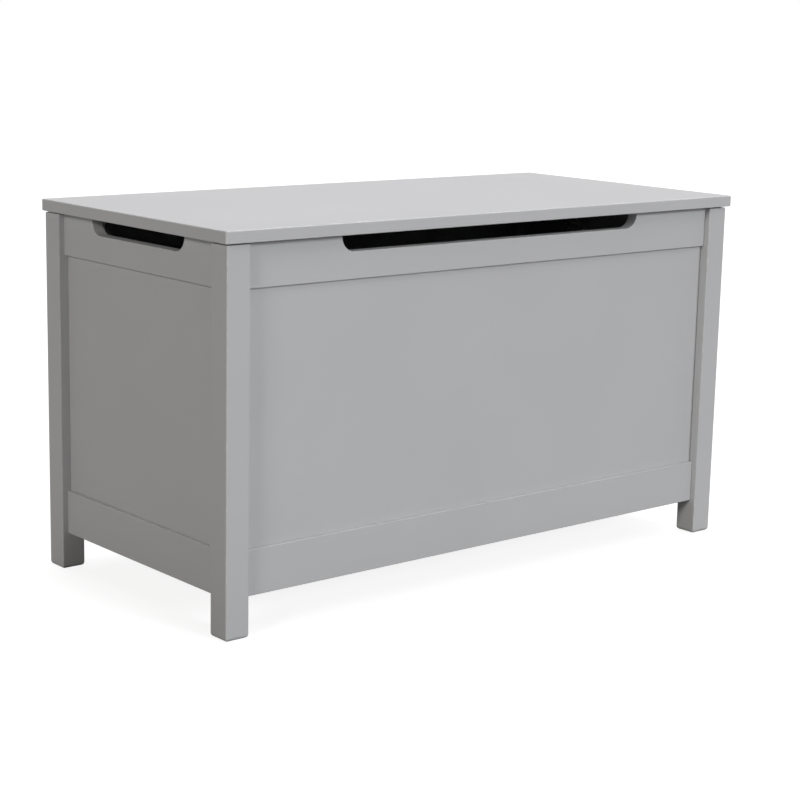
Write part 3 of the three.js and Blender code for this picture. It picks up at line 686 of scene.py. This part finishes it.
# %% The holes of one board
def holes_in(node):
    """The shells that reach into a node's block, apart from those of the node itself."""
    low, high = corners_of(node)
    return [
        shell
        for name, shell in let_in.items()
        if not name.startswith(node)
        and np.all(shell[0].min(axis=0) < high)
        and np.all(shell[0].max(axis=0) > low)
    ]


print(len(let_in), "holes, grooves and mortises")

# %% [markdown]
# ## Legs
#
# Each leg is a square post. The long arrises are eased to 2 mm, the top a little less, and the foot
# to 5 mm, so that it slides over a floor without splintering. Drawing the outline in by more than
# its corner radius would turn the corners inside out, so here the corner radius shrinks with it.

# %% The four legs
LEG_ARRIS = 2.0 * MM
FOOT_RADIUS = 5.0 * MM
LEG_TOP_RADIUS = 1.5 * MM
SMALLEST_RADIUS = 0.6 * MM
LEGS = [f"leg_{end}_{side}" for end in ("front", "rear") for side in ("left", "right")]

for leg in LEGS:
    low, high = corners_of(leg)
    width, depth, height = high - low
    section = rounded(width, depth, LEG_ARRIS, smallest=SMALLEST_RADIUS)
    post = board(section, height, FOOT_RADIUS, LEG_TOP_RADIUS)
    shell = placed_at(post, foot_of(leg), X, Y, Z)
    piece(f"painted_{leg}", shell, enamel_on_wood[2], "painted_wood", leg, cut=holes_in(leg))
print("four legs,", round(width / MM, 1), "mm square and", round(height / MM, 1), "mm tall")

# %% [markdown]
# ## Framed sides
#
# Each side is a frame of two rails and a panel. The top rails at the front, left and right have a
# finger slot in their upper edge, so that the lid never closes on a hand. The slot is routed with
# the board flat on the bench and its edge is eased like the others, so the rail is one outline
# carried through its thickness. Cutting the slot afterwards would leave its edge sharp.

# %% Rails
RAIL_EASE = 1.0 * MM
SLOT_DEPTH = 19.5 * MM
SLOT_RADIUS = 19 * MM
SLOT_LENGTHS = {"front": 506 * MM, "left": 206 * MM, "right": 206 * MM, "rear": 0.0}
JOINT = 0.1 * MM  # what is left open between a rail's end and the leg


def rail_outline(length, height, slot):
    """A rail's elevation, counter-clockwise. The slot's two lower corners are quarter circles, and
    its mouth is square to the edge."""
    end = length / 2
    corners = [np.array([(-end, 0), (end, 0), (end, height)])]
    if slot:
        centre = (slot / 2 - SLOT_RADIUS, height - SLOT_DEPTH + SLOT_RADIUS)
        right = arc(centre, SLOT_RADIUS, 0, -90, 14)
        corners += [[(slot / 2, height)], right, right[::-1] * (-1, 1), [(-slot / 2, height)]]
    corners.append([(-end, height)])
    return np.vstack(corners)


def rail_board(length, height, thickness, slot):
    """A rail with its long edges and its slot eased. The outline runs past both ends and is clipped
    there, so that the ends stay square and close against the legs."""
    outline = rail_outline(length + 4 * RAIL_EASE, height, slot)
    limit = (length / 2, np.inf)
    return board(lambda inset: np.clip(drawn_in(outline, inset), np.negative(limit), limit),
                 thickness, RAIL_EASE)


def side_frame(side, node):
    """Where a side's piece starts, in the middle of its lower outer edge, with the axis along the
    side and the axis inward."""
    low, high = corners_of(node)
    middle = (low + high) / 2
    inward = {"front": Y, "rear": -Y, "left": X, "right": -X}[side]
    along = X if side in ("front", "rear") else Y
    outer = np.where(inward + along + Z > 0, low, high)
    origin = middle * along + outer * np.abs(inward) + low * Z
    return origin, along, inward


for side in SIDE_NAMES:
    for level in ("top", "bottom"):
        node = f"{side}_{level}_rail"
        low, high = corners_of(node)
        origin, along, inward = side_frame(side, node)
        length = along @ (rear_leg_low - front_leg_high) - 2 * JOINT
        slot = SLOT_LENGTHS[side] if level == "top" else 0.0
        sizes = (length, high[2] - low[2], np.abs(inward) @ (high - low))
        shell = placed_at(rail_board(*sizes, slot), origin, along, Z, inward)
        wood = enamel_on_wood[0] if side in ("front", "rear") else enamel_on_wood[1]
        grow = tenons(node) if side in ("left", "right") else ()
        piece(f"painted_{node}", shell, wood, "painted_wood", node, grow=grow, cut=holes_in(node))
        print(node, "in mm:", np.round(np.array(sizes) / MM, 1))

# %% Panels
PANEL_EASE = 0.4 * MM

for side in SIDE_NAMES:
    node = f"{side}_panel"
    low, high = corners_of(node)
    origin, along, inward = side_frame(side, node)
    size = high - low
    length, height, thickness = along @ size, size[2], np.abs(inward) @ size
    panel = board(rounded(length, height, PANEL_EASE, shrink=0), thickness, PANEL_EASE / 2)
    shell = placed_at(panel, origin + height / 2 * Z, along, Z, inward)
    piece(f"painted_{node}", shell, enamel_on_board, "painted_wood", node)
print("four panels,", round(thickness / MM, 1), "mm thick, held on all four edges")

# %% [markdown]
# ## Base
#
# The base is a thin board whose edges lie in grooves of the bottom rails, with its corners cut out
# round the legs. A bar under its middle keeps it from sagging.

# %% The base board and its bar
BASE_EASE = 0.5 * MM
BAR_EASE = 1.5 * MM

base = board(lambda inset: base_outline(-inset), base_thickness, BASE_EASE)
shell = placed_at(base, (0, 0, base_low[2]), X, Y, Z)
piece("painted_base_board", shell, enamel_on_board, "painted_wood", "base_board")

low, high = corners_of("base_cross_bar")
width, length, height = high - low
bar = board(rounded(width, height, BAR_EASE, shrink=0.5), length, BAR_EASE / 4)
start = ((low[0] + high[0]) / 2, low[1], (low[2] + high[2]) / 2)
shell = placed_at(bar, start, X, Z, Y)
piece("painted_cross_bar", shell, enamel_on_wood[1], "painted_wood", "base_cross_bar")
print("bar", np.round((high - low) / MM, 1), "mm")

# %% [markdown]
# ## Lid
#
# The lid is one flat board of fibreboard. It stands 5 mm past the legs at the front and the sides,
# and its upper arris is eased a little more than the lower one, because hands and knees meet it.

# %% The lid
LID_CORNER = 2.5 * MM
LID_TOP_EASE = 1.6 * MM
LID_UNDER_EASE = 1.0 * MM
low, high = corners_of("lid")
width, depth, thickness = high - low
lid = board(rounded(width, depth, LID_CORNER), thickness, LID_UNDER_EASE, LID_TOP_EASE)
shell = placed_at(lid, foot_of("lid"), X, Y, Z)
piece("painted_lid", shell, enamel_on_board, "painted_wood", "lid", cut=holes_in("lid"))
print("lid", np.round((high - low) / MM, 1), "mm")

# %% [markdown]
# ## Metal and plastic
#
# Hinges, stays and screws are steel with bright zinc plating and a clear passivate, which leaves a
# soft, slightly blue shine and faint clouds from yellow to blue. Cams are die-cast zinc: duller, a
# little darker and finely grained. The damper's drum is moulded black acetal, and the lid's pads
# are grey polyurethane. Metals keep the default IOR, because their colour sets the reflection.

# %% Plating, casting, plastics
CLOUD_WIDTH = 7 * MM
BRUSH_WIDTH = 0.35 * MM  # drawn twice as coarse as it is, so that it shows
CAST_GRAIN = 0.6 * MM
MOULD_GRAIN = 0.5 * MM
GRAIN_BUMP = 0.4  # strength of every fine grain


def mottled(name, first, second, roughness, grain, depth, metallic=0.0):
    """A finish that drifts between two colours and two roughnesses over clouds, with a fine grain
    in its surface."""
    material, tree = new_material(name)
    place = add(tree, "ShaderNodeTexCoord").outputs["Object"]
    share = spread(tree, noise(tree, place, CLOUD_WIDTH, 3.0), NOISE_SPAN)
    mix = {"Factor": share, "A": hex_colour(first), "B": hex_colour(second)}
    colour = add(tree, "ShaderNodeMix", mix, data_type="RGBA")
    relief = bump(tree, noise(tree, place, grain, 2.0), GRAIN_BUMP, depth)
    finish_material(
        tree,
        Base_Color=colour.outputs["Result"],
        Roughness=spread(tree, share, target=roughness),
        Metallic=metallic,
        Normal=relief,
    )
    return material


bright_zinc = mottled("bright_zinc_plated_steel", "#C6C9CE", "#CFCDC4", (0.26, 0.38),
                      BRUSH_WIDTH, 0.01 * MM, metallic=1.0)
die_cast_zinc = mottled("die_cast_zinc", "#9C9EA1", "#ABACAD", (0.42, 0.55),
                        CAST_GRAIN, 0.03 * MM, metallic=1.0)
black_acetal = mottled("moulded_black_acetal", "#17181A", "#1F2022", (0.38, 0.5),
                       MOULD_GRAIN, 0.02 * MM)
grey_urethane = mottled("grey_polyurethane", "#B4B6B6", "#BFC0BF", (0.45, 0.6),
                        MOULD_GRAIN, 0.02 * MM)
PRESSED = {"material": bright_zinc, "slot": "zinc_plated_steel"}
print("bright zinc, die-cast zinc, acetal and polyurethane")

# %% [markdown]
# ## Screws
#
# The hinge screws are countersunk and the bracket screws have pan heads, all with a cross recess.
# The head is turned from its profile, and the recess is taken out as a plus sign that narrows as it
# goes down, like the driver's tip. Only the heads ever show, so the thread is left smooth.

# %% Heads, recesses and screws
SMALLEST_RING = 0.2 * MM
CROSS_HALF_WIDTH = 0.28  # of its arm
FLAT_CROSS = (0.6, 0.45)  # arm and depth of the cross in a countersunk head, of its radius
PAN_CROSS_ARM = 0.55 * PAN_HEAD_RADIUS
PAN_CROSS_DEPTH = 1.4 * MM


def dome(radius, rise, steps=6):
    """(radius, height) over a domed head, from its small flat top down to its rim: a quarter
    ellipse, with the radius as a sine and the height as one minus a cosine."""
    angle = np.linspace(math.asin(SMALLEST_RING / radius), np.pi / 2, steps + 1)
    return np.column_stack((radius * np.sin(angle), rise * (1 - np.cos(angle))))


def headed(shank, head_radius, rise, length, first_head=True, sides=40):
    """A pin or stud stood on z: a straight shank with a domed head at its far end, and at its near
    end too if first_head is set."""
    head = dome(head_radius, rise)
    near = [*head, (shank, rise)] if first_head else [(shank, 0)]
    far = (head * (1, -1) + (0, length))[::-1]
    return turned(np.vstack((near, [(shank, length - rise)], far)), sides)


def plus_sign(arm, half_width):
    """A plus sign's outline, counter-clockwise: one arm's three corners, turned four times."""
    corner = np.array([(arm, -half_width), (arm, half_width), (half_width, half_width)])
    quarter = np.array([(0, 1), (-1, 0)])
    return np.vstack([corner @ np.linalg.matrix_power(quarter, turn) for turn in range(4)])


def cross_recess(arm, depth, start):
    """The hole for a cross-point driver, from above the head down to its depth. The arms narrow to
    a third, and their width to a half."""
    half_width = CROSS_HALF_WIDTH * arm
    levels = ((1.0, 1.0, start - MOUTH), (1.0, 1.0, start), (0.33, 0.5, start + depth))
    rings = [
        np.column_stack((plus_sign(arm * reach, half_width * narrow), np.full(12, level)))
        for reach, narrow, level in levels
    ]
    return skin(np.array(rings))


def pan_head(radius, rise, shank, length):
    """(radius, depth) down a pan-head screw from its domed top, with its seat at depth 0."""
    head = dome(radius, rise) - (0, rise)
    stem = [(shank, 0), (shank, length - SCREW_POINT), (SMALLEST_RING, length)]
    return np.vstack((head, stem))


for _, _, node in HINGE_SCREWS:
    start, direction, radius, length = screw_line(node)
    shell = stood(turned(countersunk(radius, length), sides=32), start, direction)
    arm, depth = np.multiply(FLAT_CROSS, radius)
    recess = stood(cross_recess(arm, depth, 0.0), start, direction)
    piece(f"plated_{node}", shell, **PRESSED, node=node, cut=[recess])
profile = pan_head(PAN_HEAD_RADIUS, PAN_HEAD_HEIGHT, BRACKET_SCREW_RADIUS, BRACKET_SCREW_LENGTH)
for name, (seat, direction, body) in bracket_screws.items():
    shell = stood(turned(profile, sides=32), seat, direction)
    cross = cross_recess(PAN_CROSS_ARM, PAN_CROSS_DEPTH, -PAN_HEAD_HEIGHT)
    recess = stood(cross, seat, direction)
    piece(f"plated_{name}", shell, **PRESSED, body=body, cut=[recess])
print("8 hinge screws and", len(bracket_screws), "bracket screws")

# %% [markdown]
# ## Hinges
#
# A butt hinge is two leaves of 0.9 mm steel, each rolled round the pin in its own knuckles: two for
# the rail's leaf, and the middle one for the lid's. The roll is one section, almost a whole ring
# with a narrow slit where the strip ends, carried along the pin. A plain tube would hide that the
# hinge is folded from sheet.

# %% Leaves and pins
LEAF_THICKNESS = 0.9 * MM
LEAF_GAP = 0.2 * MM  # between the closed leaves
LEAF_EASE = 0.2 * MM
ROLL_EASE = 0.12 * MM
LEAF_CORNER = 1.2 * MM
KNUCKLE_CLEARANCE = 0.5 * MM  # from the barrel to the edge of the other leaf's plate
PIN_CLEARANCE = 0.25 * MM
PIN_HEAD_LENGTH = 1 * MM
SLIT = (-174, 177)  # the roll's two ends, in degrees round the pin
ROLL_STEPS = 40


def leaf_piece(hinge, part):
    """A leaf. In its own frame x runs along the pin and z from the pin towards the leaf's board."""
    node = f"{hinge}_{part}_leaf"
    low, high = corners_of(node)
    pin = middle_of(f"{hinge}_pin")
    rise = Z if part == "lid" else -Z
    barrel = high[1] - pin[1]
    length = np.subtract(*corners_of(f"{hinge}_rail_leaf")[::-1])[0]
    knuckle = (length - 2 * FIT) / 3
    starts = [-knuckle / 2] if part == "lid" else [-length / 2, length / 2 - knuckle]
    plate_end = -barrel - KNUCKLE_CLEARANCE
    plate_start = low[1] - pin[1]
    width = plate_end - plate_start
    inner = barrel - LEAF_THICKNESS
    outer_arc = arc((0, 0), barrel, *SLIT, ROLL_STEPS)
    ring = np.vstack((outer_arc, arc((0, 0), inner, *SLIT[::-1], ROLL_STEPS)))
    roll = board(lambda inset: drawn_in(ring, inset), knuckle, ROLL_EASE)
    tab = block((0, plate_end - MOUTH, LEAF_GAP / 2),
                (knuckle, -barrel + LEAF_THICKNESS / 2, LEAF_GAP / 2 + LEAF_THICKNESS))
    grow = []
    for start in starts:
        grow.append(placed_at(tab, pin + start * X, X, Y, rise))
        grow.append(placed_at(roll, pin + start * X, Y, rise, X))
    middle = pin + (plate_start + plate_end) / 2 * Y + LEAF_GAP / 2 * rise
    plate = board(rounded(length, width, LEAF_CORNER), LEAF_THICKNESS, LEAF_EASE)
    shell = placed_at(plate, middle, X, Y, rise)
    holes = [let_in[screw] for of, on, screw in HINGE_SCREWS if (of, on) == (hinge, part)]
    piece(f"plated_{node}", shell, **PRESSED, node=node, grow=grow, cut=holes)
    return inner - PIN_CLEARANCE


def pin_piece(hinge, radius):
    """The pin: a domed head at each end, and a straight shank between them."""
    node = f"{hinge}_pin"
    low, high = corners_of(node)
    length, width, _ = high - low
    pin = headed(radius, width / 2, PIN_HEAD_LENGTH, length, sides=32)
    shell = stood(pin, (low[0], *middle_of(node)[1:]), X)
    piece(f"plated_{node}", shell, **PRESSED, node=node)


for hinge in HINGES:
    for part in ("rail", "lid"):
        pin_radius = leaf_piece(hinge, part)
    pin_piece(hinge, pin_radius)
print("hinge pins", round(2 * pin_radius / MM, 2), "mm thick")

# %% [markdown]
# ## Lid stays
#
# Each side has a folding stay: a plate on the rail with a damper, a lower arm, an upper arm and a
# bracket bent from strip under the lid. The damper's drum slows the lid's fall. The parts are
# riveted, so every pivot is a turned stud with a domed head.

# %% Arms, studs and plates
PLATE_EASE = 0.4 * MM
PLATE_CORNER = 6 * MM
STUD_RADIUS = 3.5 * MM
STUD_HEAD_RADIUS = 6 * MM
STUD_HEAD_RISE = 1.5 * MM


def arm_outline(start, end, half_width):
    """An arm from the side: half a circle round each pivot, joined by straight edges."""
    angle = math.degrees(math.atan2(end[2] - start[2], end[1] - start[1]))
    return np.vstack(
        (
            arc(end[1:], half_width, angle - 90, angle + 90, 16),
            arc(start[1:], half_width, angle + 90, angle + 270, 16),
        )
    )


def stud(length, first_head):
    """A stay's stud, with one head or two."""
    return headed(STUD_RADIUS, STUD_HEAD_RADIUS, STUD_HEAD_RISE, length, first_head)


def stud_hole(pivot, node, clearance):
    """A hole right through a stay's part, round a pivot."""
    low, high = corners_of(node)
    ends = [np.array((x, *pivot[1:])) for x in (low[0] - MOUTH, high[0] + MOUTH)]
    return rod(STUD_RADIUS + clearance, *ends)


for side, inward in INWARD.items():
    box_pivot, elbow, lid_pivot, half_width = stay_pivots(side)
    for arm, start, end in (("lower", box_pivot, elbow), ("upper", elbow, lid_pivot)):
        node = f"{side}_stay_{arm}_arm"
        low, high = corners_of(node)
        outline = arm_outline(start, end, half_width)
        bar = board(lambda inset: drawn_in(outline, inset), high[0] - low[0], PLATE_EASE)
        shell = placed_at(bar, (near_face(node, inward), 0, 0), Y, Z, inward)
        holes = [stud_hole(pivot, node, FIT) for pivot in (start, end)]
        piece(f"plated_{node}", shell, **PRESSED, node=node, cut=holes)
    node = f"{side}_stay_elbow_rivet"
    low, high = corners_of(node)
    shell = stood(stud(high[0] - low[0], True), (near_face(node, inward), *elbow[1:]), inward)
    piece(f"plated_{node}", shell, **PRESSED, node=node)
print("arms", round(2 * half_width / MM, 1), "mm wide")

# %% Box brackets with their dampers
DRUM_RADIUS = 13 * MM
DRUM_HEIGHT = 6.4 * MM
DRUM_RIBS = 36
RIB_DEPTH = 0.5 * MM
DRUM_BORE_FIT = 0.1 * MM  # round the stud
# The drum's edges, as (inset from its radius, distance from its end) in millimetres
DRUM_FOOT = np.array([(0.8, 0), (0.3, 0.1), (0, 0.6)])
DRUM_TOP = np.array([(0, 1.2), (0.4, 0.4), (1.2, 0.1), (2, 0)])
DRUM_PROFILE = np.vstack((
    (DRUM_RADIUS, 0) + DRUM_FOOT * (-MM, MM),
    (DRUM_RADIUS, DRUM_HEIGHT) - DRUM_TOP * MM,
))

for side, inward in INWARD.items():
    node = f"{side}_stay_box_bracket"
    low, high = corners_of(node)
    pivot = stay_pivots(side)[0]
    near = np.array((near_face(node, inward), *pivot[1:]))
    length, height = high[1] - low[1], high[2] - low[2]
    plate = board(rounded(length, height, PLATE_CORNER), BOX_PLATE, PLATE_EASE)
    shell = placed_at(plate, near, Y, Z, inward)
    holes = [let_in[f"{side}_box_bracket_screw_{number}"] for number in (1, 2)]
    holes.append(stud_hole(pivot, node, 0.0))
    piece(f"plated_{node}", shell, **PRESSED, node=node, cut=holes)

    drum = turned(DRUM_PROFILE, sides=4 * DRUM_RIBS, lobes=DRUM_RIBS, lobe_depth=RIB_DEPTH)
    shell = stood(drum, near + BOX_PLATE * inward, inward)
    hole = stud_hole(pivot, node, DRUM_BORE_FIT)
    piece(f"{side}_damper_drum", shell, black_acetal, body="root", cut=[hole])
    shell = stood(stud(high[0] - low[0], False), near, inward)
    piece(f"{side}_box_stud", shell, **PRESSED, body="root")
print("drums", 2 * DRUM_RADIUS / MM, "mm across, with", DRUM_RIBS, "ribs")

# %% Lid brackets
STRIP_THICKNESS = 2 * MM
STRIP_EASE = 0.35 * MM
BEND_RADIUS = 2.4 * MM  # at the middle of the strip
FLANGE_CORNER = 5 * MM
SHOULDER = 7 * MM  # along the flange, where it narrows to the ear
EAR_RADIUS = 9 * MM
EAR_TURN = math.radians(86)  # just short of a quarter turn, so that the strip keeps some width
EAR_STEPS = 12
BEND_STEPS = 9


def bracket_path(reach, drop, width):
    """The strip's middle line as (inward, z), its slope and its half width. It runs level from its
    free end, turns down through a quarter circle, and ends round the pivot. The free corners and
    the ear are arcs; the shoulders between them are a smooth step, three t squared less two t
    cubed."""
    turn = np.linspace(0, np.pi / 2, BEND_STEPS)
    t = np.linspace(0, 1, BEND_STEPS)[1:]
    flange_end = STRIP_THICKNESS / 2 + BEND_RADIUS
    run = reach - flange_end
    corner = FLANGE_CORNER * (1 - np.cos(turn))
    shoulder = run - SHOULDER * (1 - t)
    along = np.hstack((corner, [run - SHOULDER], shoulder))
    step = 1 - (3 - 2 * t) * t * t
    full = width / 2
    corner_half = full - FLANGE_CORNER * (1 - np.sin(turn))
    flange_half = np.hstack((corner_half, [full], EAR_RADIUS + (full - EAR_RADIUS) * step))
    level = np.column_stack((reach - along, np.full(len(along), -STRIP_THICKNESS / 2)))
    bend = BEND_RADIUS * np.column_stack((-np.sin(turn[1:]), np.cos(turn[1:])))
    bend += (flange_end, -flange_end)
    tip = np.linspace(0, EAR_TURN, EAR_STEPS)
    ear_z = -drop - EAR_RADIUS * np.sin(tip)
    ear = np.column_stack((np.full(EAR_STEPS, STRIP_THICKNESS / 2), ear_z))
    path = np.vstack((level, bend, ear))
    slope = np.hstack((np.zeros(len(level)), turn[1:], np.full(EAR_STEPS, np.pi / 2)))
    half = np.hstack((flange_half, np.full(len(bend), EAR_RADIUS), EAR_RADIUS * np.cos(tip)))
    return path, slope, half


def bent_strip(path, slope, half):
    """A strip along a path in the plane of x and z. At each point a rounded section, as wide as
    twice the half width, stands square to the path: its width lies along y, and its thickness along
    the path's normal."""
    rings = []
    for (x, z), angle, half_width in zip(path, slope, half):
        section = rounded_rectangle(2 * half_width, STRIP_THICKNESS, STRIP_EASE, 3)
        normal = np.array((-np.sin(angle), 0, np.cos(angle)))
        rings.append(np.array((x, 0, z)) - section[:, :1] * Y + section[:, 1:] * normal)
    return skin(np.array(rings))


for side, inward in INWARD.items():
    node = f"{side}_stay_lid_bracket"
    low, high = corners_of(node)
    pivot = stay_pivots(side)[2]
    flange_width = high[1] - low[1]
    near = near_face(node, inward)
    top = np.array((near, pivot[1], high[2]))
    strip = bent_strip(*bracket_path(high[0] - low[0], high[2] - pivot[2], flange_width))
    shell = placed_at(strip, top, inward, Y, Z)
    holes = [let_in[f"{side}_lid_bracket_screw_{number}"] for number in (1, 2)]
    holes.append(stud_hole(pivot, node, 0.0))
    piece(f"plated_{node}", shell, **PRESSED, node=node, cut=holes)
    arm_face = near_face(f"{side}_stay_upper_arm", -inward)
    length = abs(arm_face - near) + FIT + STUD_HEAD_RISE
    shell = stood(stud(length, False), np.array((near, *pivot[1:])), inward)
    piece(f"{side}_lid_stud", shell, **PRESSED, body="lid")
print("lid brackets bent from a", round(flange_width / MM, 1), "mm strip")

# %% [markdown]
# ## Knock-down fittings
#
# The front and rear rails are pulled against the legs by cams. Each cam is a die-cast drum let into
# the rail's inner face, with a cross for the driver and a raised rim, and it grips the head of a
# bolt that turns into the leg. The bolts never show, so they stay as the frame has them, with the
# plating as their finish.

# %% Cams and bolts
CAM_RIM = 0.9 * MM
CAM_RIM_HEIGHT = 0.35 * MM
CAM_CHAMFER = 0.4 * MM
CAM_CROSS_ARM = 3.6 * MM
CAM_CROSS_DEPTH = 2.4 * MM

for place in CAM_PLACES:
    node = f"cam_lock_{place}"
    low, high = corners_of(node)
    inward = Y if place.startswith("front") else -Y
    radius, height = (high[0] - low[0]) / 2, high[1] - low[1]
    profile = [
        (radius - CAM_CHAMFER, 0),
        (radius, CAM_CHAMFER),
        (radius, height - CAM_CHAMFER),
        (radius - CAM_CHAMFER, height),
        (radius - CAM_RIM, height),
        (radius - CAM_RIM - CAM_RIM_HEIGHT, height - CAM_RIM_HEIGHT),
    ]
    middle = (low + high) / 2
    shell = stood(turned(profile), middle - height / 2 * inward, inward)
    face = middle + (height / 2 - CAM_RIM_HEIGHT) * inward
    cross = stood(cross_recess(CAM_CROSS_ARM, CAM_CROSS_DEPTH, 0.0), face, -inward)
    bolt_low, bolt_high = corners_of(f"cam_bolt_{place}")
    channel = block(bolt_low - FIT, bolt_high + FIT)
    piece(f"cast_{node}", shell, die_cast_zinc, "cast_zinc", node, cut=[channel, cross])
    frame["nodes"][f"cam_bolt_{place}"].material_slots[0].material = bright_zinc
print(len(CAM_PLACES), "cams,", round(2 * radius / MM, 1), "mm across")

# %% [markdown]
# ## Pads under the lid
#
# The hinge leaves hold the lid 2 mm above the rear rail. A soft pad over each front leg takes up
# most of the same gap at the front, so that the lid lands quietly and close to level.

# %% The two pads
PAD_RADIUS = 5 * MM
PAD_HEIGHT = 1.6 * MM
PAD_EASE = 0.5 * MM
lid_underside = corners_of("lid")[0][2]

for leg in ("leg_front_left", "leg_front_right"):
    seat = np.array((*middle_of(leg)[:2], lid_underside))
    profile = [(PAD_RADIUS, 0), (PAD_RADIUS, PAD_HEIGHT - PAD_EASE)]
    rounding = arc((PAD_RADIUS - PAD_EASE, PAD_HEIGHT - PAD_EASE), PAD_EASE, 0, 90, 4)[1:]
    shell = stood(turned(np.vstack((profile, rounding))), seat, -Z)
    piece(f"pad_over_{leg}", shell, grey_urethane, body="lid")
gap = lid_underside - corners_of("leg_front_left")[1][2]
print("pads", PAD_HEIGHT / MM, "mm high in a gap of", round(gap / MM, 1), "mm")

# %% Sizes, and the end
bpy.context.view_layer.update()
low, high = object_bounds()
print("the finished box in mm:", [round((b - a) / MM, 1) for a, b in zip(low, high)])
